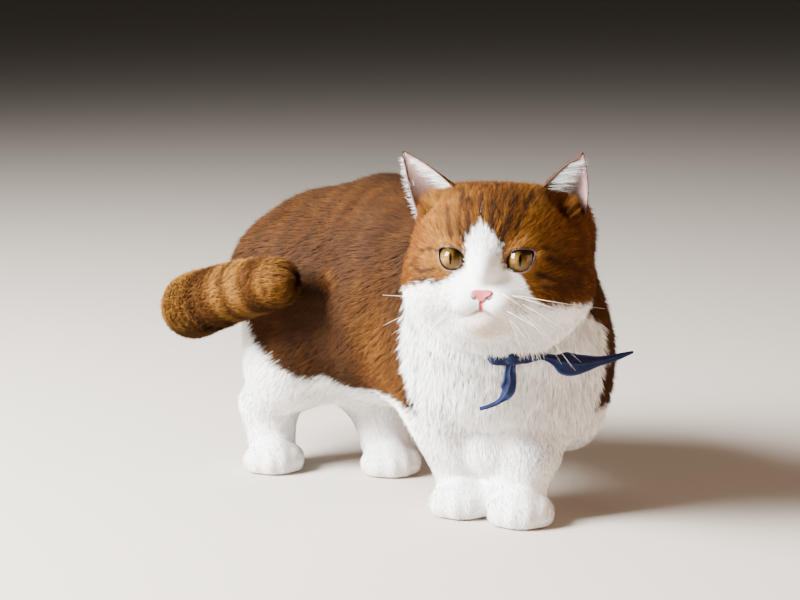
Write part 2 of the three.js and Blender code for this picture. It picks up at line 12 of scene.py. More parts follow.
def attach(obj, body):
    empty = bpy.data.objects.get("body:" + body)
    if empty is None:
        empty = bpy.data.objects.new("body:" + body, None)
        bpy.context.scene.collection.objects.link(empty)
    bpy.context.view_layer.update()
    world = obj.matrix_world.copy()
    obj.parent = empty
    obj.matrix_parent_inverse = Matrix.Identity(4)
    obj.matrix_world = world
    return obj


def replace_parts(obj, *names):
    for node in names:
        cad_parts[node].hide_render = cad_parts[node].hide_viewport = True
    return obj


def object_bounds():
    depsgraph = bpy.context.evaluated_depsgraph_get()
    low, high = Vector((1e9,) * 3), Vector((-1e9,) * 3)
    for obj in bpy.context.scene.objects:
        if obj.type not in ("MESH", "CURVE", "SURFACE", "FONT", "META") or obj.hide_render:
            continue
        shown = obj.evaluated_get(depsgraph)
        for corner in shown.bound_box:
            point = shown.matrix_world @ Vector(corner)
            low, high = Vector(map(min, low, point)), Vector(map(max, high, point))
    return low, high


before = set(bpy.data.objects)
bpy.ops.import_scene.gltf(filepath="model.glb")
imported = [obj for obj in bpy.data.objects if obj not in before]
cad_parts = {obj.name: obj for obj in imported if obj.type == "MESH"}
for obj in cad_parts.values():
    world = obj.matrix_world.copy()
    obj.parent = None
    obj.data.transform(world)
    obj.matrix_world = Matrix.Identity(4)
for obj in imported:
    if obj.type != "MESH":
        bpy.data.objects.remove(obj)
CAD_BOX = [list(corner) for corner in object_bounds()]

bl_info = {
    "name": "Munchkin Cat",
    "version": (1, 0, 0),
    "blender": (4, 5, 0),
    "location": "3D View > Sidebar > Cat",
    "description": "Builds the skin, coat, eyes, whiskers and kerchief of a still model of a munchkin cat",
    "category": "Object",
}

MM = 0.001  # shapes are worked out in millimetres and made in metres


# Named places and sizes, in millimetres


def turned(degrees):
    """A turn about the upright axis."""
    c, s = np.cos(np.radians(degrees)), np.sin(np.radians(degrees))
    return np.array([[c, -s, 0], [s, c, 0], [0, 0, 1]])


def tilted(degrees):
    """A turn about the axis that points to the left."""
    c, s = np.cos(np.radians(degrees)), np.sin(np.radians(degrees))
    return np.array([[1, 0, 0], [0, c, -s], [0, s, c]])


class Seat:
    """A place on the cat with axes left, back and up, turned to the cat's right, its nose lifted."""

    def __init__(self, origin, turn=0.0, lift=0.0):
        self.origin = np.array(origin, float)
        self.axes = turned(-turn) @ tilted(-lift)

    def at(self, left, back, up):
        return self.origin + self.axes @ np.array([left, back, up], float)

    def along(self, left, back, up):
        way = self.axes @ np.array([left, back, up], float)
        return way / np.linalg.norm(way)

    def local(self, points):
        return (points - self.origin) @ self.axes


SHIFT = np.array([-3.6, -9.0, 0.0])  # the solids stand with the middle of their box over the origin
CHEST_WIDTH = 128
BACK_HEIGHT = 203
CHEST_CLEARANCE = 34
HEAD_WIDTH = 115
HEAD_TURN = 57
HEAD_LIFT = 3
EYE_RADIUS = 10.2
EYE_SPACING = 38
EYE_OPENING = (16.4, 13.4)
EAR_WIDTH = 30
NOSE_WIDTH = 13
MOUTH_WIDTH = 27
PAW_WIDTH = 34
PAW_LENGTH = 42
PALM_HEIGHT = 28
TOE_RADIUS = PAW_WIDTH * 0.25
TAIL_RADIUS = 22
SCARF_RADIUS = 4.6

RIB_WIDTH = CHEST_WIDTH / 2
RIB_HEIGHT = (BACK_HEIGHT - CHEST_CLEARANCE) / 2
CHEEK = HEAD_WIDTH / 2
EYE = (EYE_SPACING / 2, -47 + EYE_RADIUS, 0.8)

chest = Seat(SHIFT + [22, -64, (BACK_HEIGHT + CHEST_CLEARANCE) / 2], 38)
middle = Seat(SHIFT + [20, 18, 122], 16)
hips = Seat(SHIFT + [7, 84, 112], 4)
head = Seat(SHIFT + [-25.6, -107.7, 167], HEAD_TURN, HEAD_LIFT)
NOSE_PLACE = (0, -58, -18)
NOSE_TIP = head.at(*NOSE_PLACE)
NECK_WAY = np.array([-0.563, -0.563, 0.601]) / np.linalg.norm([0.563, 0.563, 0.601])
NECK_MIDDLE = SHIFT + [-16, -106, 153]
KNOT = SHIFT + [-39.6, -132.2, 110.4]
FACE_LEFT = np.array([0.7071, -0.7071, 0])  # roughly across the turned head
FACE_BACK = np.array([0.7071, 0.7071, 0])  # roughly from the face to the back of the head
SCARF_UP = np.cross(NECK_WAY, FACE_LEFT)
SCARF_UP /= np.linalg.norm(SCARF_UP)
SCARF_SIDE = np.cross(SCARF_UP, NECK_WAY)

# Each leg: its paw's seat on the floor, the top of the leg, and its joint in the paw's own axes
LEGS = {
    "front_right": (Seat(SHIFT + [-9.6, -63.6, 0], 44), chest.at(-27, -8, -36), (-2, 8, 40)),
    "front_left": (Seat(SHIFT + [-0.8, -105.2, 0], 50), chest.at(24, -14, -36), (4, 10, 40)),
    "hind_right": (Seat(SHIFT + [-15.6, 106, 0], 34), hips.at(-22, 2, -34), (0, 14, 42)),
    "hind_left": (Seat(SHIFT + [33.2, 44.5, 0], 24), hips.at(24, -12, -34), (0, 16, 42)),
}


# Curves, and small helpers for many points at once


def curve(points, count):
    """A smooth curve through points, as points at even steps along it."""
    p = [np.array(point, float) for point in points]
    p = [2 * p[0] - p[1]] + p + [2 * p[-1] - p[-2]]
    dense = []
    for a, b, c, d in zip(p, p[1:], p[2:], p[3:]):
        ka, kb, kc = (max(np.linalg.norm(v - u), 1e-6) ** 0.5 for u, v in ((a, b), (b, c), (c, d)))
        leave = kb * ((b - a) / ka - (c - a) / (ka + kb) + (c - b) / kb)
        arrive = kb * ((c - b) / kb - (d - b) / (kb + kc) + (d - c) / kc)
        t = np.linspace(0, 1, 40)[:, None]
        dense.append(
            b
            + leave * t
            + (-3 * b + 3 * c - 2 * leave - arrive) * t**2
            + (2 * b - 2 * c + leave + arrive) * t**3
        )
    dense = np.concatenate(dense)
    reach = np.concatenate([[0], np.cumsum(np.linalg.norm(np.diff(dense, axis=0), axis=1))])
    steps = np.linspace(0, reach[-1], count)
    return np.stack([np.interp(steps, reach, dense[:, k]) for k in range(3)], axis=1)


def slope(path):
    """The direction of a path at each of its points."""
    return unit(np.gradient(path, axis=0))


def ramp(low, high, value):
    """0 below low and 1 above high, with a smooth step between."""
    t = np.clip((value - low) / (high - low), 0, 1)
    return t * t * (3 - 2 * t)


def between(a, b, share):
    """a where share is 0, b where it is 1, and a mixture where it lies between."""
    return a * (1 - share) + b * share


def unit(ways):
    """Ways of any length, as directions."""
    return ways / np.maximum(np.linalg.norm(ways, axis=1, keepdims=True), 1e-6)


def far(p, place):
    """How far points are from a place."""
    return np.linalg.norm(p - place, axis=1)


def full_turn(steps):
    """Even steps of a whole turn, in radians."""
    return np.arange(steps) / steps * 2 * np.pi


TAIL_STEPS = 200
TAIL_PATH = curve(
    [
        hips.at(0, 34, 26),
        hips.at(-2, 56, 12),
        SHIFT + [-5, 161, 112],
        SHIFT + [-27, 167, 106],
        SHIFT + [-50, 144, 111],
        SHIFT + [-66, 107, 121],
        SHIFT + [-67, 68, 133],
        SHIFT + [-67, 28, 142],
    ],
    TAIL_STEPS + 1,
)
TAIL_LENGTH = np.linalg.norm(np.diff(TAIL_PATH, axis=0), axis=1).sum()
TAIL_WAY = slope(TAIL_PATH)


def tail_radius(share):
    """The tail's radius at a share of its length, fullest in its middle."""
    return TAIL_RADIUS * (0.8 + 0.24 * np.sin(np.pi * min(share * 1.05, 1)))


# Masses: each is a function of points that is below zero inside, in about millimetres


def egg(place, centre, radii, tilt=0.0):
    """A rounded mass with three radii, in the axes of its place."""
    middle_point = place.at(*centre)
    axes = place.axes @ tilted(tilt) / np.array(radii)
    radii = np.array(radii, np.float32)

    def mass(p):
        q = (p - middle_point).astype(np.float32) @ axes.astype(np.float32)
        reach = np.sqrt((q * q).sum(1))
        q /= radii
        return reach * (reach - 1) / np.maximum(np.sqrt((q * q).sum(1)), 1e-6)

    return mass


def limb(start, end, thick, thin):
    """A round mass between two ends of their own radii."""
    axis = end - start
    span = axis @ axis

    def mass(p):
        q = p - start
        t = np.clip(q @ axis / span, 0, 1)
        return np.linalg.norm(q - t[:, None] * axis, axis=1) - (thick + (thin - thick) * t)

    return mass


def melt(a, b, width):
    """Two masses melt together over a width."""
    close = np.maximum(width - np.abs(a - b), 0) / width
    return np.minimum(a, b) - close * close * width / 4


def cut(a, b, width):
    """What is left of mass a when mass b is cut from it, with a rounded edge."""
    return -melt(-a, b, width)


def blend(masses, width):
    """Several masses melted into one."""

    def mass(p):
        total = masses[0](p)
        for other in masses[1:]:
            total = melt(total, other(p), width)
        return total

    return mass


def near(mass, centre, reach):
    """A mass that is worked out only within a reach of its middle."""

    def field(p):
        close = ((p - centre) ** 2).sum(1) < reach * reach
        result = np.full(len(p), 1e3)
        if close.any():
            result[close] = mass(p[close])
        return result

    return field


trunk = blend(
    [
        egg(chest, (0, 10, 0), (RIB_WIDTH, 64, RIB_HEIGHT - 2)),
        egg(chest, (0, -32, -6), (RIB_WIDTH * 0.8, 34, RIB_HEIGHT * 0.64)),
        egg(chest, (-8, -46, -4), (40, 30, 50)),
        egg(middle, (0, -36, 8), (60, 54, 68)),
        egg(middle, (0, 14, 4), (63, 72, 77)),
        egg(hips, (0, 0, 6), (47, 54, 70)),
        egg(hips, (-8, 29, 21), (34, 34, 31)),
        egg(hips, (26, 0, -18), (25, 38, 41)),
        egg(hips, (-22, -4, -18), (24, 32, 40)),
        egg(chest, (46, 3, -34), (29, 38, 52)),
        egg(chest, (-38, -4, -28), (26, 34, 46)),
    ],
    26,
)
throat = blend(
    [limb(chest.at(0, -14, 26), head.at(0, 24, -10), 50, 46), egg(head, (0, -2, -38), (44, 32, 24))],
    20,
)
skull = blend(
    [
        egg(head, (0, 6, 6), (49, 47, 36.5)),
        egg(head, (26, 2, 20), (21, 20, 18)),
        egg(head, (-26, 2, 20), (21, 20, 18)),
        egg(head, (0, -18, 7), (38, 28, 29)),
        egg(head, (CHEEK - 27, 2, -17), (27, 33, 27)),
        egg(head, (27 - CHEEK, 2, -17), (27, 33, 27)),
        egg(head, (22, -22, -19), (23, 22, 19)),
        egg(head, (-22, -22, -19), (23, 22, 19)),
    ],
    14,
)
snout = blend(
    [
        egg(head, (0, -30, -22), (27, 24, 19)),
        egg(head, (0, -37, -5), (11, 21, 15), -8),
        egg(head, (8.5, -46, -23.5), (11.5, 13, 9)),
        egg(head, (-8.5, -46, -23.5), (11.5, 13, 9)),
        egg(head, (0, -44, -34), (11, 11, 7)),
        egg(head, (0, -34, -37), (19, 14, 9)),
    ],
    6,
)
orbits = blend([egg(head, (side * EYE[0], -33, EYE[2] + 1), (15, 11, 14)) for side in (1, -1)], 4)

# The fur of the nape behind the left ear, and the fold of the chest between the forelegs
NAPE = (34, 34, 8)
BRISKET = SHIFT + [-5, -84, 46]
nape = near(egg(head, NAPE, (19, 26, 28)), head.at(*NAPE), 60)
brisket = near(egg(Seat(BRISKET, 47), (0, 0, 0), (15, 14, 20)), BRISKET, 50)


def leg_mass(paw, top, joint):
    """A leg from the trunk over its joint to the wrist."""
    wide = PAW_WIDTH / 2
    knee = paw.at(*joint)
    wrist = paw.at(0, 7, PALM_HEIGHT * 0.75)
    return blend([limb(top, knee, wide * 1.5, wide * 1.12), limb(knee, wrist, wide * 1.12, wide * 1.02)], 7)


def paw_mass(paw):
    """A paw with its pad and four toes."""
    pad = egg(paw, (0, -1, PALM_HEIGHT * 0.22), (PAW_WIDTH / 2 * 0.98, PAW_LENGTH / 2, PALM_HEIGHT * 0.75))
    toes = []
    for side in (-1.5, -0.5, 0.5, 1.5):
        forward = PAW_LENGTH * (0.3 - 0.05 * side * side)
        toe = Seat(paw.at(side * TOE_RADIUS * 0.98, -forward, TOE_RADIUS * 0.85))
        toe.axes = paw.axes @ turned(-9 * side)
        toes.append(egg(toe, (0, 0, 0), (TOE_RADIUS, TOE_RADIUS * 1.5, TOE_RADIUS * 1.2)))
    return blend([pad, blend(toes, 3)], 6)


def tail_mass():
    """The tail, as short lengths along its path."""
    steps = np.linspace(0, 1 - tail_radius(1) / TAIL_LENGTH, 22)
    index = np.round(steps * TAIL_STEPS).astype(int)
    rows = [
        limb(TAIL_PATH[i], TAIL_PATH[j], tail_radius(s), tail_radius(t))
        for i, j, s, t in zip(index, index[1:], steps, steps[1:])
    ]
    return near(blend(rows, 2), SHIFT + [-30, 110, 118], 130)


leg_fields = [near(leg_mass(*leg), leg[0].at(0, 8, 40), 110) for leg in LEGS.values()]
paw_fields = [near(paw_mass(leg[0]), leg[0].at(0, -4, 10), 45) for leg in LEGS.values()]
tail_field = tail_mass()
head_fields = [near(mass, head.origin, 110) for mass in (skull, snout, orbits)]


def body_outline(p):
    """The outline over the coat of all but the head."""
    total = melt(trunk(p), throat(p), 26)
    total = melt(total, tail_field(p), 12)
    for leg, paw in zip(leg_fields, paw_fields):
        total = melt(total, leg(p), 20)
        total = melt(total, paw(p), 3)
    return melt(melt(total, nape(p), 10), brisket(p), 8)


def outline(p):
    """The outline over the coat of the whole cat, without its ears."""
    skull_part, snout_part, orbit_part = (field(p) for field in head_fields)
    face = melt(melt(skull_part, snout_part, 8), orbit_part, 6)
    return melt(body_outline(p), face, 10)


def neck_height(p):
    """How far along the neck a point is from the kerchief, the head above zero."""
    return (p - NECK_MIDDLE) @ NECK_WAY


def under_jaw(p):
    """1 in the fold between the cheeks and the chest, along the kerchief."""
    front = ramp(-0.2, 0.5, (NECK_MIDDLE - p) @ SCARF_UP / RIB_WIDTH)
    return front * np.exp(-((neck_height(p) / 4.5) ** 2))


def coat_depth(p):
    """How deep the skin lies under the outline."""
    on_head = 0.5 + 1.4 * ramp(8, 70, far(p, NOSE_TIP))
    on_trunk = 0.9 + 2.2 * ramp(22, 80, p[:, 2])
    return between(on_trunk, on_head, ramp(-4, 14, neck_height(p))) + 3 * under_jaw(p)


# Features of the face


def bezier(points):
    """Eight points along a curve of four control points, without its last."""
    a, b, c, d = (np.array(point, float) for point in points)
    t = np.linspace(0, 1, 9)[:-1, None]
    return (1 - t) ** 3 * a + 3 * (1 - t) ** 2 * t * b + 3 * (1 - t) * t * t * c + t**3 * d


def almond():
    """The opening between the lids, seen from the front: its outer corner, at +X, is high and its inner
    one low."""
    wide, tall = (size / 2 for size in EYE_OPENING)
    inner, top, outer, bottom = (-wide, -tall * 0.35), (0.6, tall * 0.98), (wide, tall * 0.64), (0.2, -tall)
    sides = [
        [inner, (-wide * 1.02, tall * 0.5), (-wide * 0.58, tall * 0.97), top],
        [top, (wide * 0.5, tall * 1.0), (wide * 0.9, tall * 0.98), outer],
        [outer, (wide, tall * 0.2), (wide * 0.76, -tall), bottom],
        [bottom, (-wide * 0.5, -tall), (-wide * 0.9, -tall * 0.8), inner],
    ]
    return np.concatenate([bezier(side) for side in sides])


def loop_distance(loop, q):
    """The distance of flat points from a closed loop, below zero inside it."""
    start, end = loop, np.roll(loop, -1, axis=0)
    way = end - start
    offset = q[:, None, :] - start[None]
    t = np.clip((offset * way).sum(2) / (way * way).sum(1), 0, 1)
    distance = np.linalg.norm(offset - t[..., None] * way, axis=2).min(1)
    above = (start[None, :, 1] > q[:, None, 1]) != (end[None, :, 1] > q[:, None, 1])
    climb = np.where(way[None, :, 1] == 0, 1e-9, way[None, :, 1])
    crossing = start[None, :, 0] + (q[:, None, 1] - start[None, :, 1]) * way[None, :, 0] / climb
    inside = (above & (q[:, None, 0] < crossing)).sum(1) % 2 == 1
    return np.where(inside, -distance, distance)


ALMOND = almond()


class Gaze(Seat):
    """An eye's middle, looking ahead."""

    def __init__(self, side):
        super().__init__(head.at(side * EYE[0], EYE[1], EYE[2]), HEAD_TURN - side * 7, HEAD_LIFT + 2)
        self.side = side

    def from_lids(self, p):
        """The distance from the edge of the lids, seen along the gaze, below zero in the opening."""
        q = self.local(p)
        return loop_distance(ALMOND, np.stack([q[:, 0] * self.side, q[:, 2]], axis=1))


GAZES = {"eye_right": Gaze(-1), "eye_left": Gaze(1)}


def tube(path, radii):
    """A round rod round a path, as a mass."""
    radii = np.broadcast_to(radii, len(path))

    def mass(p):
        best = np.full(len(p), 1e3)
        for a, b, r, s in zip(path, path[1:], radii, radii[1:]):
            best = np.minimum(best, limb(a, b, r, s)(p))
        return best

    return mass


def gradient(field, p):
    """The slope of a field at points."""
    step = 0.05
    moves = np.eye(3) * step
    return np.stack([field(p + move) - field(p - move) for move in moves], axis=1) / (2 * step)


def settle(field, p, steps=3):
    """Pulls points on to the zero of a field along its slope."""
    for _ in range(steps):
        way = gradient(field, p)
        p = p - way * (field(p) / np.maximum((way * way).sum(1), 0.2))[:, None]
    return p


def bare_face(p):
    """The skin under the coat, still without its features and the hollows before the ears."""
    return outline(p) + coat_depth(p)


def on_face(points):
    """Places given in the head's own axes, pulled on to the bare face."""
    return settle(bare_face, np.array([head.at(*point) for point in points]), 6)


# Each ear: its base, its tip and the way that it opens
EAR_PLACES = {
    "ear_right": (head.at(-35.3, -1, 27), head.at(-57.8, 1, 59), head.along(-0.5, -0.84, 0.2)),
    "ear_left": (head.at(35.7, 0, 28), head.at(48.2, 2, 60), head.along(0.25, -0.95, 0.15)),
}


def ear_ways(base, tip, facing):
    """The base of an ear, the way to its tip and the way that it opens."""
    axis = (tip - base) / np.linalg.norm(tip - base)
    facing = facing - axis * (facing @ axis)
    return base, axis, facing / np.linalg.norm(facing)


EAR_WAYS = [ear_ways(*places) for places in EAR_PLACES.values()]

HALF_MOUTH = [(0, -59, -27.8), (4, -58, -29.6), (9, -54, -31.4), (MOUTH_WIDTH / 2, -48, -31.2)]
MOUTH_LINE = curve(on_face([(-l, b, u) for l, b, u in HALF_MOUTH[:0:-1]] + HALF_MOUTH), 33)
PHILTRUM = curve(on_face([(0, -61, -21.5), (0, -60, -24.5), (0, -59, -28)]), 9)
MOUTH_RADII = 0.12 + 0.42 * np.sin(np.linspace(0, np.pi, 33)) ** 2


def lid_mass(gaze):
    """The lids, still closed: a thin cover over the ball of the eye."""

    def mass(p):
        q = gaze.local(p)
        return np.linalg.norm(q, axis=1) - (EYE_RADIUS + 0.75)

    return mass


def opening_mass(gaze):
    """What is cut from the lids: the almond, in front of the eye's middle."""

    def mass(p):
        q = gaze.local(p)
        return np.maximum(gaze.from_lids(p), q[:, 1] + 1)

    return mass


mouth_field = near(tube(MOUTH_LINE, MOUTH_RADII), head.at(0, -52, -28), 26)
philtrum_field = near(tube(PHILTRUM, 0.55), head.at(0, -60, -25), 12)
lid_fields = [near(lid_mass(gaze), gaze.origin, 22) for gaze in GAZES.values()]
opening_fields = [near(opening_mass(gaze), gaze.at(0, -8, 0), 16) for gaze in GAZES.values()]
hollow_fields = [
    near(limb(base - axis * 1 + open_way * 8, base + axis * 18 + open_way * 12, 6, 9), base, 40)
    for base, axis, open_way in EAR_WAYS
]


def skin_field(p):
    """The bare skin under the coat, with lids, lips and the groove below the nose."""
    total = bare_face(p)
    for lid, opening in zip(lid_fields, opening_fields):
        total = melt(total, lid(p), 2.5)
        total = cut(total, opening(p), 0.7)
    for hollow in hollow_fields:
        total = cut(total, hollow(p), 10)
    total = cut(total, mouth_field(p), 1.2)
    total = cut(total, philtrum_field(p), 0.8)
    return cut(total, p[:, 2] - 0.4, 1.5)


# Surfaces


def sampled(field, axes):
    """A field's values on a grid, worked out closely only where its surface can be."""
    skip = 3
    shape = [len(axis) for axis in axes]
    rough = np.stack(np.meshgrid(*[axis[::skip] for axis in axes], indexing="ij"), axis=-1)
    values = field(rough.reshape(-1, 3)).reshape(rough.shape[:3])
    for k in range(3):
        values = np.repeat(values, skip, axis=k)
    values = np.ascontiguousarray(values[: shape[0], : shape[1], : shape[2]])
    cell = (axes[0][1] - axes[0][0]) * skip
    index = np.nonzero(np.abs(values) < cell * 2.6)
    points = np.stack([axis[i] for axis, i in zip(axes, index)], axis=1)
    values[index] = field(points)
    return values


CORNERS = np.array([(i, j, k) for i in (0, 1) for j in (0, 1) for k in (0, 1)])
EDGES = [(a, b) for a in range(8) for b in range(a + 1, 8) if np.abs(CORNERS[a] - CORNERS[b]).sum() == 1]


def quads_of(number):
    """The four-sided faces between the rows and columns of a grid of numbered points."""
    return np.stack([number[:-1, :-1], number[1:, :-1], number[1:, 1:], number[:-1, 1:]], -1).reshape(-1, 4)


def rim_of(number):
    """The numbers round the edge of a grid, and the one that follows each."""
    rim = np.concatenate([number[0, :], number[1:, -1], number[-1, -2::-1], number[-2:0:-1, 0]])
    return rim, np.roll(rim, -1)


def looped(number, rows=0):
    """A grid whose first column, and its first row where rows is 1, come again at its end."""
    return np.pad(number, ((0, rows), (0, 1)), mode="wrap")


def shell_of(field, low, high, cell):
    """The closed surface of a field in a box: one point for each cell that it crosses and one four-sided
    face for each edge of the grid that it crosses."""
    low, high = np.array(low, float), np.array(high, float)
    axes = [np.arange(a, b + cell, cell) for a, b in zip(low, high)]
    values = sampled(field, axes)
    inside = values < 0
    sides = [size - 1 for size in inside.shape]
    counts = np.zeros(sides, np.uint8)
    for i, j, k in CORNERS:
        counts += inside[i : i + sides[0], j : j + sides[1], k : k + sides[2]]
    cells = np.stack(np.nonzero((counts > 0) & (counts < 8)), axis=1)
    at_corner = np.stack([values[tuple((cells + corner).T)] for corner in CORNERS], axis=1)
    total, hits = np.zeros((len(cells), 3)), np.zeros(len(cells))
    for a, b in EDGES:
        crossed = (at_corner[:, a] < 0) != (at_corner[:, b] < 0)
        t = at_corner[crossed, a] / (at_corner[crossed, a] - at_corner[crossed, b])
        total[crossed] += CORNERS[a] + t[:, None] * (CORNERS[b] - CORNERS[a])
        hits[crossed] += 1
    points = settle(field, low + (cells + total / hits[:, None]) * cell)

    number = np.full(counts.shape, -1)
    number[tuple(cells.T)] = np.arange(len(cells))
    faces = []
    for axis in range(3):
        u, v = (axis + 1) % 3, (axis + 2) % 3
        before = [slice(None)] * 3
        after = [slice(None)] * 3
        before[axis], after[axis] = slice(None, -1), slice(1, None)
        crossed = inside[tuple(before)] != inside[tuple(after)]
        at = np.stack(np.nonzero(crossed), axis=1)
        at = at[(at[:, u] > 0) & (at[:, v] > 0) & (at[:, u] < counts.shape[u]) & (at[:, v] < counts.shape[v])]
        ring = []
        for du, dv in ((0, 0), (-1, 0), (-1, -1), (0, -1)):
            step = np.zeros(3, int)
            step[u], step[v] = du, dv
            ring.append(number[tuple((at + step).T)])
        ring = np.stack(ring, axis=1)
        outward = inside[tuple(at.T)]
        ring[~outward] = ring[~outward, ::-1]
        faces.append(ring)
    return points, np.concatenate(faces)


def mesh_object(name, points, faces):
    """A new object from points in millimetres and faces that all have as many corners."""
    mesh = bpy.data.meshes.new(name)
    faces = np.asarray(faces, np.int32)
    mesh.vertices.add(len(points))
    mesh.vertices.foreach_set("co", (np.asarray(points) * MM).astype(np.float32).ravel())
    mesh.loops.add(faces.size)
    mesh.loops.foreach_set("vertex_index", faces.ravel())
    mesh.polygons.add(len(faces))
    mesh.polygons.foreach_set("loop_start", np.arange(len(faces), dtype=np.int32) * faces.shape[1])
    mesh.polygons.foreach_set("use_smooth", np.full(len(faces), True))
    mesh.update(calc_edges=True)
    thing = bpy.data.objects.new(name, mesh)
    bpy.context.scene.collection.objects.link(thing)
    return thing


def points_of(mesh):
    """The points of a mesh, in millimetres."""
    flat = np.empty(len(mesh.vertices) * 3, np.float32)
    mesh.vertices.foreach_get("co", flat)
    return flat.reshape(-1, 3).astype(float) / MM


def move_points(mesh, points):
    mesh.vertices.foreach_set("co", (points * MM).astype(np.float32).ravel())
    mesh.update()


def set_mask(mesh, name, values):
    """Keeps one number for each point of a mesh, for its material to read."""
    layer = mesh.attributes.new(name, "FLOAT", "POINT")
    layer.data.foreach_set("value", np.asarray(values, np.float32))


def refined(thing, field, wanted, rounds):
    """Splits the faces that are wanted into four, and pulls the new points on to the field."""
    for size in rounds:
        bm = bmesh.new()
        bm.from_mesh(thing.data)
        bm.verts.ensure_lookup_table()
        points = points_of(thing.data)
        chosen = wanted(points, size)
        edges = [edge for edge in bm.edges if chosen[edge.verts[0].index] and chosen[edge.verts[1].index]]
        bmesh.ops.subdivide_edges(bm, edges=edges, cuts=1, use_grid_fill=True)
        bm.to_mesh(thing.data)
        bm.free()
        points = points_of(thing.data)
        again = wanted(points, size + 1.5)
        points[again] = settle(field, points[again], 4)
        move_points(thing.data, points)


# Ears: a cupped leaf between the skull and its tip, thin, with a rounded rim


class Ear:
    """Gives points of an ear from a share across (-1 to 1), a share of its height and a share of its wall."""

    def __init__(self, base, tip, facing):
        self.length = np.linalg.norm(tip - base)
        self.base, self.axis, self.open = ear_ways(base, tip, facing)
        self.across = np.cross(self.axis, self.open)

    def point(self, x, t, wall):
        rise = np.clip(t, 0, 1)
        wide = np.maximum(EAR_WIDTH / 2 * (1 - rise**1.5) ** 0.85, 0.5) * (1 + 0.25 * np.minimum(t, 0))
        arc = np.radians(104 + (38 - 104) * rise**0.8)
        thick = (0.35 + 1.25 * wall) * (1.25 - 0.5 * rise) * (1 - 0.6 * x * x)
        bend = wide / np.sin(arc)
        reach = bend + thick
        side = reach * np.sin(arc * x)
        out = bend * np.cos(arc) - reach * np.cos(arc * x)
        parts = (t * self.length, self.axis), (side, self.across), (out, self.open)
        return self.base + sum(np.asarray(size)[..., None] * way for size, way in parts)

    def leaf(self):
        """The points and faces of the closed leaf, and for each point whether it is inside the cup."""
        columns, rows = 24, 34
        u, v = np.meshgrid(np.linspace(-1, 1, columns), np.linspace(-0.3, 1, rows), indexing="ij")
        points = np.concatenate([self.point(u, v, wall).reshape(-1, 3) for wall in (0, 1)])
        size = columns * rows
        number = np.arange(size).reshape(columns, rows)
        quads = quads_of(number)
        rim, after = rim_of(number)
        wall = np.stack([rim, after, after + size, rim + size], -1)
        faces = np.concatenate([quads, quads[:, ::-1] + size, wall])
        return points, faces, np.repeat([1.0, 0.0], size)


EARS = {name: Ear(*places) for name, places in EAR_PLACES.items()}


# Markings: numbers between 0 and 1 that the skin and the coat share


def noise(p, size, seed):
    """Smooth noise between -1 and 1 whose lumps are about a size across."""
    q = p / size + 37.7 * (seed + 1)
    cell = np.floor(q).astype(np.int64)
    t = q - cell
    t = t * t * (3 - 2 * t)
    total = np.zeros(len(p))
    for corner in CORNERS:
        x, y, z = (cell + corner).T
        mixed = x * 73856093 ^ y * 19349663 ^ z * 83492791 ^ (seed * 2654435761)
        mixed = (mixed ^ (mixed >> 13)) * 1274126177 & 0x7FFFFFFF
        value = ((mixed ^ (mixed >> 16)) & 0xFFFF) / 32767.5 - 1
        total += value * np.prod(np.where(corner, t, 1 - t), axis=1)
    return total


# The borders of the orange: the spine, the height of the white belly along the trunk, and on the head the
# height under which the cheeks are white at a distance to each side, and the blaze's half width and middle
SPINE_Y = SHIFT[1] + np.array([-106, -64, 18, 84, 159])
SPINE_X = SHIFT[0] + np.array([-16, 22, 20, 7, -5])
BELLY_Y = [-60, -43, -11, 17, 31, 36, 50, 59, 74, 84, 92, 100]
BELLY_Z = [64, 69, 70, 66, 68, 73, 70, 77, 86, 93, 102, 117]
WHITE_CHEST = 65  # degrees each way from the front of the chest
CHEEK_SIDE = [0, 11, 17.5, 21.8, 27, 31.5, 40, 52, 60]
CHEEK_LEFT = [-2, -3.7, -6.5, -9.4, -20, -24, -26, -26, -27]
CHEEK_RIGHT = [-2, -3.7, -6.5, -11, -14, -14.5, -15.5, -20.5, -24]
BLAZE_UP = [-4, 2, 9, 14, 18, 21, 25]
BLAZE_HALF = [10.6, 10.9, 9.9, 7.6, 4.2, 1.2, -4]
BLAZE_LEFT = [-0.2, -0.9, -1.3, -2.4, -3.2, -3.4, -3.4]
# How pale and how dark the tail's rings are at shares of its length
TAIL_PLACES = [0, 0.2, 0.3, 0.5, 0.6, 0.66, 0.72, 0.74, 0.756, 0.77, 0.786, 0.8, 0.81, 0.85, 0.87]
TAIL_PLACES += [0.9, 0.92, 0.935, 0.946, 0.957, 0.968, 0.98, 0.99, 1]
TAIL_CREAM = [0.1, 0.3, 0.5, 0.7, 0.75, 0.15, 0.1, 0.3, 0.95, 0.9, 0.2, 0.6, 1, 1, 0.2]
TAIL_CREAM += [0.1, 0.3, 0.8, 0.3, 0.75, 0.4, 0.35, 0.1, 0]
TAIL_DARK = [0.2, 0.2, 0.1, 0, 0, 0.7, 0.4, 0.2, 0, 0, 0.75, 0.2, 0, 0, 0.6]
TAIL_DARK += [0.5, 0.2, 0, 0.35, 0, 0.05, 0.1, 0.5, 0.6]


def tail_share(p):
    """Each point's nearest share of the tail's path and its distance from the path."""
    nearest, distance = np.zeros(len(p)), np.full(len(p), 1e3)
    for index in range(0, TAIL_STEPS + 1, 4):
        d = far(p, TAIL_PATH[index])
        closer = d < distance
        nearest[closer], distance[closer] = index, d[closer]
    i = np.clip(nearest.astype(int), 0, TAIL_STEPS)
    along = ((p - TAIL_PATH[i]) * TAIL_WAY[i]).sum(1)
    return nearest / TAIL_STEPS + along / TAIL_LENGTH, distance


def tail_index(p):
    """The step of the tail's path that each point is beside."""
    share, _ = tail_share(p)
    return np.clip((share * TAIL_STEPS).astype(int), 0, TAIL_STEPS)


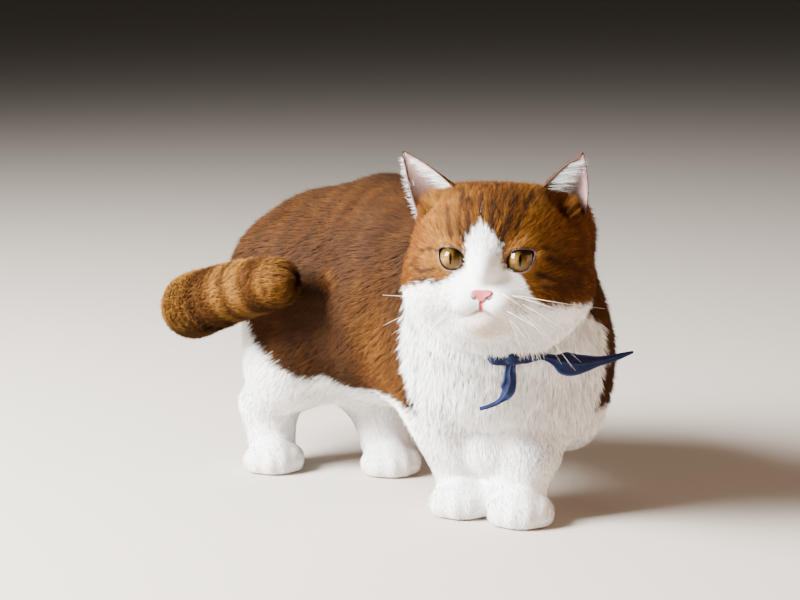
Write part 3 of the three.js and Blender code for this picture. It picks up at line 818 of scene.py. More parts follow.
def on_tail(p):
    """1 on the tail and 0 on the rump."""
    share, distance = tail_share(p)
    return ramp(0.1, 0.2, share) * (1 - ramp(26, 32, distance))


def ginger_reach(p):
    """How far in millimetres a point lies inside the orange part of the coat; below zero it is white."""
    left, back, up = head.local(p).T
    border_left = np.interp(left, CHEEK_SIDE, CHEEK_LEFT)
    border_right = np.interp(-left, CHEEK_SIDE, CHEEK_RIGHT)
    border = np.where(left > 0, border_left, border_right) - 0.35 * np.clip(back, 0, 70)
    above = up - border
    blaze = np.abs(left - np.interp(up, BLAZE_UP, BLAZE_LEFT)) - np.interp(up, BLAZE_UP, BLAZE_HALF)
    blaze = blaze + 2.2 * ramp(4, 14, up) * noise(np.stack([left, back * 0.2, up * 0.2], axis=1), 1.5, 4)
    on_head = np.where(back < -20, np.minimum(above, blaze), above)

    left, back, _ = chest.local(p).T
    round_chest = np.degrees(np.arctan2(np.abs(left), -back)) - WHITE_CHEST
    round_chest = round_chest + 5 * noise(p, 30, 3)
    belly = p[:, 2] - np.interp(p[:, 1] + np.where(p[:, 0] > 10, 12, 0), BELLY_Y, BELLY_Z)
    on_trunk = np.minimum(np.maximum(round_chest, above), belly)
    reach = between(on_trunk, on_head, ramp(-4, 10, neck_height(p)))
    return between(reach, 12, on_tail(p))


def stripe(value, place, width):
    """1 at a place and less to both sides of it."""
    return np.exp(-(((value - place) / width) ** 2))


def ear_hollow(p):
    """1 in the hollows of the skull before the ears."""
    return 1 - ramp(0.5, 5, np.min([field(p) for field in hollow_fields], axis=0))


# The dark streaks of the forehead and cheeks: their widths, and their lines in the head's own axes
STREAKS = [
    (1.6, [(-9.5, -45, 13), (-10.5, -42, 22), (-13, -28, 34)]),
    (1.3, [(-13, -45, 11), (-16, -40, 20), (-16.5, -28, 33), (-20, -9, 40)]),
    (1.5, [(-21, -42, 14), (-25, -30, 29)]),
    (1.8, [(4, -47, 13), (3, -44, 20), (2, -34, 31), (1, -4, 42)]),
    (1.9, [(9.5, -47, 8), (9.5, -46, 15), (12, -42, 23), (14, -25, 36)]),
    (1.4, [(17, -43, 19), (20, -30, 31), (22, -16, 38)]),
    (1.2, [(-4, -42, 25), (-5.5, -30, 34), (-6, -8, 42)]),
    (1.2, [(7, -42, 26), (8, -28, 35), (9, -8, 42)]),
    (0.9, [(-28.5, -42, 5.6), (-34, -37, 6), (-44, -24, 3)]),
    (0.9, [(27.5, -42, 7.6), (33, -37, 8), (40, -28, 5), (48, -21, -1)]),
    (1.3, [(-28, -43, -13), (-36, -38, -12), (-46, -30, -14)]),
    (1.2, [(-32, -42, -5), (-40, -35, -8), (-49, -22, -4)]),
    (1.8, [(31, -42, -7), (42, -35, -11), (54, -17, -13)]),
    (2.4, [(36, -36, 2), (46, -25, -3), (54, -12, -6)]),
    (1.5, [(34, -41, -14), (44, -34, -15), (55, -16, -16)]),
]
STREAK_PATHS = [(width, on_face(line)) for width, line in STREAKS]


def dark_mask(p):
    """The darker streaks of the forehead and cheeks, the faint bands of the flanks and the tail's rings, with
    painted shade on the left cheek and in the hollow before the left ear, and a painted shadow of the tail on
    the flank behind its tip.
    """
    wavy = p + 0.8 * noise(p, 6, 5)[:, None] * np.array([0.6, -0.6, 0.3])
    on_head = np.zeros(len(p))
    close = neck_height(p) > -2
    for width, path in STREAK_PATHS:
        away = tube(path, 0)(wavy[close])
        on_head[close] = np.maximum(on_head[close], 1.2 * np.exp(-((away / width / 1.15) ** 2)))
    left, _, up = head.local(p).T
    crown = ramp(24, 40, up) * (0.5 + 0.5 * noise(p * [1, 1, 0.3], 5, 6)) * (1 - ramp(24, 40, np.abs(left)))
    # shade: the lower left cheek, the side turned from the light, made darker, partly its darker fur and
    # partly painted shade
    shade = 0.28 * ramp(26, 48, left) * (1 - ramp(8, 22, up))
    on_head = on_head * (1 - 0.5 * ramp(26, 44, left))
    # the hollow before the left ear is darker: partly its dark fur, partly painted shade in the recess
    on_head = on_head * (1 + 0.25 * noise(p, 4, 6)) + 0.7 * crown + shade + 0.25 * ear_hollow(p) * (left > 0)
    on_head = np.clip(on_head, 0, 1)

    spine_x = np.interp(p[:, 1], SPINE_Y, SPINE_X)
    y = p[:, 1] - SHIFT[1] + 7 * noise(p, 26, 7)
    # painted shadow of the tail's tip on the flank behind it: a little darker there
    painted_tail_shadow = 0.2 * ramp(4, 18, y) * (1 - ramp(42, 58, y)) * (1 - ramp(150, 176, p[:, 2]))
    ripples = (0.5 + 0.5 * noise(p * [1, 1.6, 0.6], 11, 8)) * 0.6 + 0.25 * noise(p, 30, 9)
    bands = 0.5 + 0.5 * np.sin(y / 24 * 2 * np.pi + 0.04 * p[:, 2])
    ridge = stripe(p[:, 0], spine_x, 12) * ramp(150, 190, p[:, 2])
    on_trunk = 0.68 + 0.5 * painted_tail_shadow + 0.45 * ripples + 0.2 * bands + 0.2 * ridge - 0.35 * lighter(p)
    on_trunk = np.clip(on_trunk, 0, 1)

    total = between(on_trunk, on_head, ramp(-4, 10, neck_height(p)))
    return np.clip(between(total, 0.2 + 0.6 * tail_rings(p, TAIL_DARK), on_tail(p)), 0, 1)


def tail_rings(p, values):
    """A value of the tail's rings at points, their borders a little wavy."""
    share, _ = tail_share(p)
    return np.interp(share + 0.008 * noise(p, 9, 10), TAIL_PLACES, values)


def lighter(p):
    """1 on the paler band of the flank behind the shoulder."""
    y = p[:, 1] - SHIFT[1]
    return ramp(-56, -34, y) * (1 - ramp(-14, 6, y)) * (1 - ramp(110, 160, p[:, 2]))


def cream_mask(p):
    """The paler orange round the eyes, on the tail's rings and where orange meets white."""
    around_eyes = np.zeros(len(p))
    for gaze in GAZES.values():
        around_eyes = np.maximum(around_eyes, 1 - ramp(9, 17, far(p, gaze.at(0, 1 - EYE_RADIUS, 2))))
    left, back, up = head.local(p).T
    brow = (1 - ramp(20, 34, np.abs(up - 16))) * ramp(14, 22, np.abs(left)) * (1 - ramp(34, 46, np.abs(left)))
    edge = 1 - ramp(0, 5, ginger_reach(p))
    total = np.maximum(0.4 * around_eyes, 0.3 * edge) + 0.25 * brow * (back < 0) + 0.22 * lighter(p)
    total = total + 0.7 * ear_hollow(p) * (left < 0)
    return np.clip(between(total, tail_rings(p, TAIL_CREAM), on_tail(p)), 0, 1)


def markings(p, stray=0.0):
    """The masks of the coat: orange against white, dark streaks with some painted shade, pale orange, and the
    beige of the chin, partly painted shade under the mouth.
    A hair that strays takes the colour of a place some millimetres further across the border."""
    reach = ginger_reach(p) + 1.2 * noise(p, 2.6, 1) + 1.3 * noise(p, 11, 2) + stray
    # chin: the chin's own beige, and painted shade under the mouth
    chin = stripe(far(p, head.at(0, -50, -38)), 0, 14)
    return {"ginger": ramp(-1.6, 1.6, reach), "dark": dark_mask(p), "cream": cream_mask(p), "chin": chin}


# Skin


def close_face(p, size):
    """Whether points are within a size of the eyes, the mouth, the nose or the toes."""
    wanted = far(p, head.at(0, -55, -25)) < size + 14
    for gaze in GAZES.values():
        wanted |= far(p, gaze.at(0, -9, 0)) < size + 9
    for leg in LEGS.values():
        wanted |= far(p, leg[0].at(0, -17, 6)) < size + 12
    return wanted


def add_ears(thing):
    """Joins the ears to the skin, their bases buried in the skull. The mask ear is 0 on the rest of the cat,
    1 on the backs of the ears and 2 inside them."""
    bm = bmesh.new()
    bm.from_mesh(thing.data)
    part = [0.0] * len(bm.verts)
    for ear in EARS.values():
        points, faces, inside = ear.leaf()
        verts = [bm.verts.new(Vector(point * MM)) for point in points]
        for face in faces:
            bm.faces.new([verts[i] for i in face]).smooth = True
        part += list(1 + inside)
    bmesh.ops.recalc_face_normals(bm, faces=bm.faces)
    bm.to_mesh(thing.data)
    bm.free()
    set_mask(thing.data, "ear", part)


def lid_rim(p):
    """How much of a point lies on the bare pale lower rim of the lids, and on the dark upper one."""
    rim, shadow = np.zeros(len(p)), np.zeros(len(p))
    for gaze in GAZES.values():
        close = far(p, gaze.origin) < 20
        edge = 1 - ramp(0.5, 1.0, gaze.from_lids(p[close]))
        q = gaze.local(p[close])
        upper = ramp(-2.5, 1.5, q[:, 2] - 0.3 * q[:, 0] * gaze.side)
        rim[close] = np.maximum(rim[close], edge * (1 - upper))
        shadow[close] = np.maximum(shadow[close], edge * upper)
    return rim, shadow


def lip_line(p):
    """1 in the folds of the mouth and of the groove below the nose."""
    fold = np.zeros(len(p))
    close = far(p, head.at(0, -52, -28)) < 24
    distance = np.minimum(mouth_field(p[close]), philtrum_field(p[close]))
    fold[close] = 1 - ramp(0.1, 1.3, distance)
    return fold * (1 - ramp(3, 10, np.abs(head.local(p)[:, 0])))


def near_nostrils(p):
    """1 round the nostrils, where the skin takes painted shade."""
    return 1 - ramp(0.1, 0.6, np.min([field(p) for field in nostril_fields], axis=0))


def relief(p):
    """How deep the dips between the soft lumps of the chest and flanks are."""
    trunk_part = (1 - ramp(-14, -4, neck_height(p))) * ramp(40, 66, p[:, 2]) * (1 - on_tail(p))
    return trunk_part * (0.8 + 0.8 * noise(p * [1, 1, 0.5], 14, 21))


def slopes_of(mesh):
    """The way that the surface of a mesh faces at each of its points."""
    flat = np.empty(len(mesh.vertices) * 3, np.float32)
    mesh.vertex_normals.foreach_get("vector", flat)
    return flat.reshape(-1, 3).astype(float)


def build_skin(cell):
    """The skin of the whole cat with its ears, its faces about a cell wide, and its masks."""
    low, high = np.array(CAD_BOX[0]) / MM - 6, np.array(CAD_BOX[1]) / MM + 6
    points, faces = shell_of(skin_field, low, high, cell)
    skin = mesh_object("skin", points, faces)
    refined(skin, skin_field, close_face, (9, 4))
    points = points_of(skin.data)
    move_points(skin.data, points - slopes_of(skin.data) * relief(points)[:, None])
    add_ears(skin)
    p = points_of(skin.data)
    for name, values in markings(p).items():
        set_mask(skin.data, name, values)
    rim, shadow = lid_rim(p)
    set_mask(skin.data, "lid_rim", rim)
    set_mask(skin.data, "lid_shadow", shadow)
    set_mask(skin.data, "lip_line", lip_line(p))
    set_mask(skin.data, "philtrum", 1 - ramp(0.2, 1.2, philtrum_field(p)))
    set_mask(skin.data, "nostril", near_nostrils(p))
    return skin


# Lie of the coat


def nearest_leg(p):
    """For each point, the forward way of the leg that it is closest to."""
    spots = np.array([leg[0].at(0, 4, 20) for leg in LEGS.values()])
    ways = np.array([leg[0].along(0, -1, 0) for leg in LEGS.values()])
    flat = np.linalg.norm(p[:, None, :2] - spots[None, :, :2], axis=2)
    return ways[flat.argmin(1)]


def lie(p, normal):
    """The way that the hair lies at points of the skin."""
    on_head = unit(p - NOSE_TIP)
    up = head.local(p)[:, 2]
    on_head[:, 2] -= 0.55 * (1 - ramp(-24, 4, up))

    spine = np.stack([np.gradient(SPINE_X, SPINE_Y), np.ones(5), np.zeros(5)], axis=1)
    on_trunk = np.stack([np.interp(p[:, 1], SPINE_Y, spine[:, k]) for k in range(3)], axis=1)
    on_trunk[:, 2] -= 0.2 + 0.75 * (1 - np.abs(normal[:, 2]))
    left, back, _ = chest.local(p).T
    front = 1 - ramp(40, 90, np.degrees(np.arctan2(np.abs(left), -back)))
    down = np.array([0, 0, -1.0])
    on_chest = down + 0.35 * np.stack([normal[:, 0], normal[:, 1], np.zeros(len(p))], axis=1)
    on_trunk = between(on_trunk, on_chest, front[:, None])
    low = 1 - ramp(38, 72, p[:, 2])
    paw = 1 - ramp(14, 30, p[:, 2])
    on_leg = down + nearest_leg(p) * (0.15 + 0.9 * paw)[:, None]
    on_trunk = between(on_trunk, on_leg, low[:, None])

    way = between(on_trunk, on_head, ramp(-8, 10, neck_height(p))[:, None])
    over_scarf = -NECK_WAY - [0, 0, 0.4]
    way = between(way, over_scarf, buried(p)[:, None])
    along_tail = TAIL_WAY[tail_index(p)]
    return flat_way(between(way, along_tail, on_tail(p)[:, None]), normal)


def flat_way(way, normal):
    """The part of a way that lies along the skin."""
    return unit(way - normal * (way * normal).sum(1, keepdims=True))


def turn_about(way, axis, angle):
    """Turns ways that are square to an axis, about it."""
    return way * np.cos(angle)[:, None] + np.cross(axis, way) * np.sin(angle)[:, None]


def scarf_shown(p):
    """1 at the front of the neck, where the kerchief isn't buried in the coat."""
    q = p - NECK_MIDDLE
    turn = np.degrees(np.arctan2(q @ SCARF_UP, q @ SCARF_SIDE))
    return ramp(-108, -99, turn) * (1 - ramp(-70, -60, turn))


def buried(p):
    """1 just above the kerchief, where the hair of the cheeks and neck lies over it."""
    height = neck_height(p)
    return ramp(0, 3, height) * (1 - ramp(10, 18, height))


def hair_length(p):
    """The length of the hair: shortest on the nose and paws, longest on the chest and the ruff."""
    left, _, up = head.local(p).T
    cheek = ramp(22, 48, np.abs(left)) * (1 - ramp(-14, 4, up))
    on_head = 1.5 + 6.2 * ramp(4, 66, far(p, NOSE_TIP)) - 2 * cheek
    on_trunk = 2.4 + 6.8 * ramp(18, 86, p[:, 2])
    length = between(on_trunk, on_head, ramp(-10, 16, neck_height(p)))
    length = np.maximum(length, (7 + 3.5 * scarf_shown(p)) * buried(p))
    return length * (1 - 0.25 * on_tail(p))


# Nose, eyes, whiskers


def nose_loop():
    """The outline of the bare nose, seen from the front."""
    half = NOSE_WIDTH / 2
    right = np.concatenate(
        [
            bezier([(0, 2.6), (half * 0.5, 3.2), (half, 2.6), (half, 0.8)]),
            bezier([(half, 0.8), (half * 0.9, -1.2), (2.4, -2.2), (1.3, -4.4)]),
            [(1.3, -4.4)],
        ]
    )
    return np.concatenate([right, (right * [-1, 1])[:0:-1]])


NOSE_LOOP = nose_loop()
NOSTRIL = [(3.4, -60, -19), (4.7, -59, -18.8), (5.9, -57.5, -17.9), (6.9, -56, -16.6)]


def nostril_line(side):
    """The course of a nostril, just above the outline of the muzzle."""
    places = np.array([head.at(side * left, back, up) for left, back, up in NOSTRIL])
    return curve(settle(lambda p: outline(p) - 0.2, places, 6), 12)


NOSTRILS = [nostril_line(side) for side in (1, -1)]
nostril_fields = [near(tube(path, np.linspace(0.85, 0.3, 12)), path[5], 12) for path in NOSTRILS]


def leather_field(p):
    """The bare nose: a rounded pad that stands a little out of the fur, with its nostrils."""
    q = head.local(p)
    rim = loop_distance(NOSE_LOOP, q[:, ::2] - NOSE_PLACE[::2])
    total = -melt(-rim, -(outline(p) - 0.35), 1.6)
    total = np.maximum(total, q[:, 1] + 50.5)
    for field in nostril_fields:
        total = cut(total, field(p), 0.8)
    return cut(total, philtrum_field(p) - 0.1, 0.6)


def build_nose():
    """The bare nose with its nostrils."""
    reach, cell = 11, 0.35
    points, faces = shell_of(leather_field, NOSE_TIP - reach, NOSE_TIP + reach, cell)
    nose = mesh_object("nose_leather", points, faces)
    hollow = np.min([field(points) for field in nostril_fields], axis=0)
    # hollow: 1 in the nostrils, which are given painted shade
    set_mask(nose.data, "hollow", 1 - ramp(0, 1, hollow))
    return nose


def globe(name, gaze, radius, bulge):
    """A ball that looks along its gaze, with a bulge over the iris. Its masks say how far its points lie
    across and above the middle."""
    rows, columns = 40, 56
    tilt, turn = np.meshgrid(np.linspace(0, np.pi, rows + 1)[1:-1], full_turn(columns), indexing="ij")
    reach = radius + bulge * np.exp(-((tilt / 0.62) ** 2))
    flat = np.stack([np.sin(tilt) * np.cos(turn), -np.cos(tilt), np.sin(tilt) * np.sin(turn)], axis=-1)
    local = (flat * reach[..., None]).reshape(-1, 3)
    local = np.concatenate([local, [[0, -radius - bulge, 0], [0, radius, 0]]])
    number = np.arange((rows - 1) * columns).reshape(rows - 1, columns)
    after = np.roll(number, -1, axis=1)
    front, back = len(local) - 2, len(local) - 1
    caps = [(front, a, b) for a, b in zip(number[0], after[0])]
    caps += [(back, b, a) for a, b in zip(number[-1], after[-1])]
    faces = [*quads_of(looped(number)), *caps]
    thing = mesh_from_lists(name, gaze.origin + local @ gaze.axes.T, faces)
    set_mask(thing.data, "across", local[:, 0])
    set_mask(thing.data, "above", local[:, 2])
    return thing


def mesh_from_lists(name, points, faces):
    """A new smooth object from faces of any number of corners."""
    mesh = bpy.data.meshes.new(name)
    mesh.from_pydata([Vector(point * MM) for point in points], [], [list(map(int, face)) for face in faces])
    mesh.polygons.foreach_set("use_smooth", np.full(len(faces), True))
    mesh.update()
    thing = bpy.data.objects.new(name, mesh)
    bpy.context.scene.collection.objects.link(thing)
    return thing


def rod(path, radii, sides, closed=False):
    """The points and faces of a round rod along a path; an open one has closed ends."""
    way = unit(np.roll(path, -1, axis=0) - np.roll(path, 1, axis=0) if closed else slope(path))
    askew = [0.31, 0.2, 0.93]
    side = unit(np.cross(way, askew))
    up = np.cross(side, way)
    turn = full_turn(sides)
    radii = np.broadcast_to(radii, len(path))
    ring = side[:, None] * np.cos(turn)[None, :, None] + up[:, None] * np.sin(turn)[None, :, None]
    points = (path[:, None] + ring * radii[:, None, None]).reshape(-1, 3)
    number = np.arange(len(points)).reshape(len(path), sides)
    if closed:
        number = np.concatenate([number, number[:1]])
    after = np.roll(number, -1, axis=1)
    faces = np.stack([number[:-1], after[:-1], after[1:], number[1:]], axis=-1).reshape(-1, 4).tolist()
    if not closed:
        faces += [list(number[0, ::-1]), list(number[-1])]
    return points, faces


def joined(parts):
    """Several lists of points and faces as one."""
    points, faces, total = [], [], 0
    for some_points, some_faces in parts:
        points.append(some_points)
        faces += [[i + total for i in face] for face in some_faces]
        total += len(some_points)
    return np.concatenate(points), faces


def lid_line(gaze, radius):
    """The edge of the lids, on a ball round the eye."""
    loop = np.stack([ALMOND[:, 0] * gaze.side, ALMOND[:, 1]], axis=1)
    depth = -np.sqrt(np.maximum(radius**2 - (loop**2).sum(1), 1))
    return gaze.origin + np.stack([loop[:, 0], depth, loop[:, 1]], axis=1) @ gaze.axes.T


def build_eye(side_name, gaze):
    """The ball with its iris, the clear cornea over it and the dark edge of the lids."""
    ball = globe(f"eyeball_{side_name}", gaze, EYE_RADIUS - 0.5, 0)
    cornea = globe(f"cornea_{side_name}", gaze, EYE_RADIUS - 0.25, 0.7)
    path = lid_line(gaze, EYE_RADIUS + 0.55)
    thick = 0.17 + 0.2 * ramp(-1, 4, ((path - gaze.origin) @ gaze.axes)[:, 2])
    edge = mesh_from_lists(f"lid_edge_{side_name}", *rod(path, thick, 8, closed=True))
    return ball, cornea, edge


# Each whisker: its root to the side, back and up, its reach, how far it leans back on the left side, and
# how far it drops
WHISKER_ROWS = [
    (15, -46, -21, 52, 12, 9),
    (12.5, -49, -22, 54, 10, 22),
    (15.5, -46, -23, 45, 8, 30),
    (10.5, -51, -24, 46, 8, 34),
    (13.5, -48.5, -24.5, 37, 6, 33),
    (16.5, -45.5, -25, 32, 6, 33),
    (12, -50, -27, 27, 4, 28),
    (15, -47, -27.5, 18, 4, 30),
    (18, -43.5, -27, 25, 4, 24),
    (13, -49, -29, 12, 2, 22),
    (10, -51, -22, 26, 3, 16),
    (17.5, -44, -23.5, 22, 3, 12),
]


def whisker(spot, aim, drop, thick):
    """A fine cone that leaves its root forwards, bows back along its aim and bends down."""
    t = np.linspace(0, 1, 14)[:, None]
    bow = -FACE_BACK * np.linalg.norm(aim) * 0.2 * np.sin(np.pi * t)
    path = spot + aim * t + bow + np.array([0, 0, -1]) * drop * t**2 * 0.35
    return rod(path, thick * (1 - 0.9 * t[:, 0]) + 0.02, 5)


def ear_tufts(rng):
    """Long pale hairs that cross the openings of the ears, drooping at the base of the left one, and a short
    fringe on the outer rim of the right one."""
    roots, ways, normals, lengths = [], [], [], []
    for name, ear in EARS.items():
        inward = 1 if name == "ear_right" else -1
        crossing, fringe = (480, 560) if inward > 0 else (750, 0)
        x = inward * (0.93 - 0.7 * rng.random(crossing) ** 1.3)
        t = 0.02 + 0.78 * rng.random(crossing) ** 1.2
        roots.append(ear.point(x, t, 0))
        rise = 0.75 - (1.3 * (1 - ramp(0, 0.35, t)) if inward < 0 else 0 * t)
        way = -inward * ear.across * (1.3 if inward < 0 else 0.75) + ear.open * 0.3
        way = way + ear.axis * rise[:, None]
        ways.append(way + rng.normal(0, 0.22, (crossing, 3)))
        lengths.append((14 if inward > 0 else 20) * (1 - 0.65 * t) * rng.uniform(0.5, 1.15, crossing))
        x = -inward * (0.97 - 0.5 * rng.random(fringe))
        t = 0.02 + 0.9 * rng.random(fringe)
        roots.append(ear.point(x, t, 0))
        way = -inward * ear.across * 0.7 + ear.axis * 0.5 + ear.open * 0.5
        ways.append(way + rng.normal(0, 0.3, (fringe, 3)))
        lengths.append(rng.uniform(3, 8, fringe) * (1 - 0.4 * t))
        normals.append(np.tile(ear.open, (crossing + fringe, 1)))
    way = np.concatenate(ways)
    return np.concatenate(roots), np.concatenate(normals), way, np.concatenate(lengths)


def build_ear_tufts(seed):
    """The long pale hairs of both ears, as one piece of the coat."""
    rng = np.random.default_rng(seed)
    roots, normal, way, length = ear_tufts(rng)
    count = len(roots)
    way = flat_way(way, normal)
    width, lift = rng.uniform(0.12, 0.2, count), rng.uniform(0.15, 0.6, count)
    grown = hairs(roots, normal, way, length, width, lift, np.zeros(count), rng, 3)
    masks = {name: np.zeros(count) for name in ("ginger", "dark", "cream", "chin")}
    return hair_object("coat_ear_tufts", grown, roots, "ears", masks, rng.uniform(-0.8, 0.6, count))


def build_whiskers(seed):
    """The whiskers of both sides; those of the right side lean further back."""
    rng = np.random.default_rng(seed)
    parts = []
    for side in (1, -1):
        for left, back, up, reach, backwards, down in WHISKER_ROWS:
            root = on_face([(side * left, back, up)])[0]
            if side > 0:
                moved = FACE_LEFT * reach * 0.92 + FACE_BACK * backwards
            else:
                moved = -FACE_LEFT * reach * 0.8 + FACE_BACK * (reach + 6)
            moved = moved * rng.uniform(0.82, 1.08)
            down = down * rng.uniform(0.7, 1.1)
            parts.append(whisker(root, moved - [0, 0, down * 0.7], down * 1.4, 0.15))
    return mesh_from_lists("whiskers", *joined(parts))


# Coat


def hair_density(p, normal):
    """Hairs on each square millimetre of skin."""
    on_head = 6.2 - 2.2 * ramp(34, 62, far(p, NOSE_TIP))
    on_trunk = 2.0 + 1.2 * (1 - ramp(34, 84, p[:, 2]))
    density = between(on_trunk, on_head, ramp(-8, 8, neck_height(p))) + 0.9 * on_tail(p)
    under_paw = (p[:, 2] < 2.5) & (normal[:, 2] < -0.3)
    return np.where(under_paw, 0, 0.95 * density)


def bare(p):
    """Where no hair grows: the rims of the lids, the lips, the nose and under the kerchief."""
    eyes = np.zeros(len(p), bool)
    for gaze in GAZES.values():
        close = far(p, gaze.origin) < 22
        eyes[close] |= gaze.from_lids(p[close]) < 1.1 - 0.6 * ramp(-1, 3, gaze.local(p[close])[:, 2])
    lips = (mouth_field(p) < 0.05) | (philtrum_field(p) < 0.5)
    q = head.local(p)
    nose = (q[:, 1] < -52) & (loop_distance(NOSE_LOOP, q[:, ::2] - NOSE_PLACE[::2]) < 0.4)
    wrapped = (np.abs(neck_height(p)) < 3.6) & (scarf_shown(p) > 0.1)
    return eyes | lips | nose | wrapped


PIECE_TRIANGLES = 199000  # the most in one piece of the coat
HAIRS_IN_TUFT = 6
PIECE_NAMES = ["face", "head_right", "head_left", "chest", "back_right", "back_left"]
PIECE_NAMES += ["rump", "belly", "legs_front", "legs_hind", "tail", "ears", "tail_tip"]


def piece_of(p):
    """Which piece of the coat a hair belongs to, as a place in PIECE_NAMES."""
    left, back, _ = chest.local(p).T
    front = np.degrees(np.arctan2(np.abs(left), -back)) < WHITE_CHEST + 3
    right = p[:, 0] < np.interp(p[:, 1], SPINE_Y, SPINE_X)
    piece = np.where(right, 4, 5)
    piece[p[:, 1] > SHIFT[1] + 72] = 6
    piece[p[:, 2] < 82] = 7
    piece[front] = 3
    leg = p[:, 2] < 52
    piece[leg] = np.where(p[leg, 1] < SHIFT[1] + 5, 8, 9)
    on_head = neck_height(p) > 0
    piece[on_head] = np.where(head.local(p)[on_head, 0] < 0, 1, 2)
    piece[on_head & (far(p, NOSE_TIP) < 44)] = 0
    share, _ = tail_share(p)
    piece[on_tail(p) > 0.5] = 10
    piece[(on_tail(p) > 0.5) & (share > 0.55)] = 12
    return piece


def turns(a, b):
    """The share of a full turn that a flat direction makes."""
    return np.arctan2(a, b) / (2 * np.pi) + 0.5


def unwrap(p, kind):
    """Flat places, from 0 to 1, of points of the skin: round the head, the spine, each leg or the tail."""
    if kind in ("face", "head_right", "head_left"):
        left, back, up = head.local(p).T
        return np.stack([turns(left, -back), turns(np.hypot(left, back), up) * 2 - 1], axis=1)
    if kind in ("legs_front", "legs_hind"):
        legs = [leg for name, leg in LEGS.items() if name.split("_")[0] == kind[5:].replace("s", "")]
        local = [leg[0].local(p) for leg in legs]
        second = np.hypot(*local[1].T[:2]) < np.hypot(*local[0].T[:2])
        left, back, up = np.where(second[:, None], local[1], local[0]).T
        return np.stack([(turns(left, back) + second) / 2, up / 60], axis=1)
    if kind.startswith("tail"):
        share, _ = tail_share(p)
        index = tail_index(p)
        way = TAIL_WAY[index]
        side = flat_way(np.tile([0.0, 0, 1], (len(p), 1)), way)
        out = p - TAIL_PATH[index]
        around = turns((out * np.cross(way, side)).sum(1), (out * side).sum(1))
        return np.stack([np.clip(share, 0, 1), around], axis=1)
    spine_x = np.interp(p[:, 1], SPINE_Y, SPINE_X)
    return np.stack([(p[:, 1] + 170) / 340, turns(p[:, 0] - spine_x, p[:, 2] - 115)], axis=1)


def whisker_spots(p):
    """1 at the small brown spots where the whiskers and their rows of short bristles grow."""
    spots = np.zeros(len(p))
    left, back, up = head.local(p).T
    close = (back < -38) & (np.abs(left) < 24) & (up < -18) & (up > -32)
    q = np.stack([np.abs(left[close]), up[close]], axis=1)
    for row in range(4):
        for place in range(5):
            spot = np.array([8.5 + 3.1 * place + 1.2 * (row % 2), -20.6 - 2.6 * row + 0.25 * place])
            spots[close] = np.maximum(spots[close], np.exp(-(((q - spot) ** 2).sum(1) / 1.2)))
    return spots


def roots_on(mesh, rng, thickness):
    """Random places on the skin's triangles, as dense as the hair grows there, with the skin's slope."""
    mesh.calc_loop_triangles()
    corner = np.empty(len(mesh.loop_triangles) * 3, np.int32)
    mesh.loop_triangles.foreach_get("vertices", corner)
    corner = corner.reshape(-1, 3)
    points = points_of(mesh)
    slopes = slopes_of(mesh)
    part = np.empty(len(points), np.float32)
    mesh.attributes["ear"].data.foreach_get("value", part)
    a, b, c = points[corner].transpose(1, 0, 2)
    area = np.linalg.norm(np.cross(b - a, c - a), axis=1) / 2
    density = hair_density((a + b + c) / 3, slopes[corner[:, 0]]) * thickness
    ear = part[corner].mean(1)
    density = np.where(ear > 1.5, 0, np.where(ear > 0.5, 4.6 * thickness, density))
    pick = np.repeat(np.arange(len(corner)), rng.poisson(area * density))
    u, v = rng.random((2, len(pick)))
    fold = u + v > 1
    u[fold], v[fold] = 1 - u[fold], 1 - v[fold]
    share = np.stack([1 - u - v, u, v], axis=1)[:, :, None]
    place = (points[corner[pick]] * share).sum(1)
    slope_there = (slopes[corner[pick]] * share).sum(1)
    return place, unit(slope_there), ear[pick] > 0.5


def leaders_of(roots, each, rng):
    """For each hair the one that leads its tuft: the nearest of a random few."""
    chosen = rng.choice(len(roots), max(len(roots) // each, 1), replace=False)
    tree = KDTree(len(chosen))
    for index in chosen:
        tree.insert(roots[index], int(index))
    tree.balance()
    return np.array([tree.find(root)[1] for root in roots.tolist()])


def hairs(roots, normal, way, length, width, lift, gather, rng, joints=1):
    """Tapering three-sided hairs, each bent from the lift at its root down along its way, and gathered
    sideways towards the middle of its tuft. Gives points, faces, the share of each point along its hair, the
    slope to shade it by and the number of points that a hair has."""
    count = len(roots)
    across = np.cross(way, normal)
    roll = rng.uniform(-0.6, 0.6, count)
    side = across * np.cos(roll)[:, None] + normal * np.sin(roll)[:, None]
    spot = roots - normal * 0.5
    rows, shade = [], []
    for k in range(joints + 1):
        angle = lift * (1 - 0.62 * (k - 0.4) / joints)
        aim = way * np.cos(angle)[:, None] + normal * np.sin(angle)[:, None]
        if k:
            spot = spot + aim * (length / joints)[:, None]
            spot = spot + across * (gather * ((k / joints) ** 1.4 - ((k - 1) / joints) ** 1.4))[:, None]
        half = side * (width / 2 * (1 - 0.75 * (k / joints) ** 1.5))[:, None]
        front = np.cross(side, aim)
        under = front * (width * 0.55 * (1 - 0.75 * (k / joints) ** 1.5))[:, None]
        rows += [spot] if k == joints else [spot - half, spot + half, spot - under]
        tone = normal + front * 0.5
        shade += [tone] if k == joints else [tone, tone, tone]
    each = 3 * joints + 1
    points = np.stack(rows, axis=1).reshape(-1, 3)
    points[:, 2] = np.maximum(points[:, 2], 0.2)
    shade = np.stack(shade, axis=1).reshape(-1, 3)
    pattern = []
    for k in range(joints - 1):
        for i, j in ((0, 1), (1, 2), (2, 0)):
            pattern += [(3 * k + i, 3 * k + j, 3 * k + 3 + j), (3 * k + i, 3 * k + 3 + j, 3 * k + 3 + i)]
    pattern += [(each - i, each - j, each - 1) for i, j in ((4, 3), (3, 2), (2, 4))]
    faces = (np.arange(count)[:, None, None] * each + np.array(pattern)[None]).reshape(-1, 3)
    along = np.tile(np.arange(each) // 3 / joints, count)
    return points, faces, along, shade, each


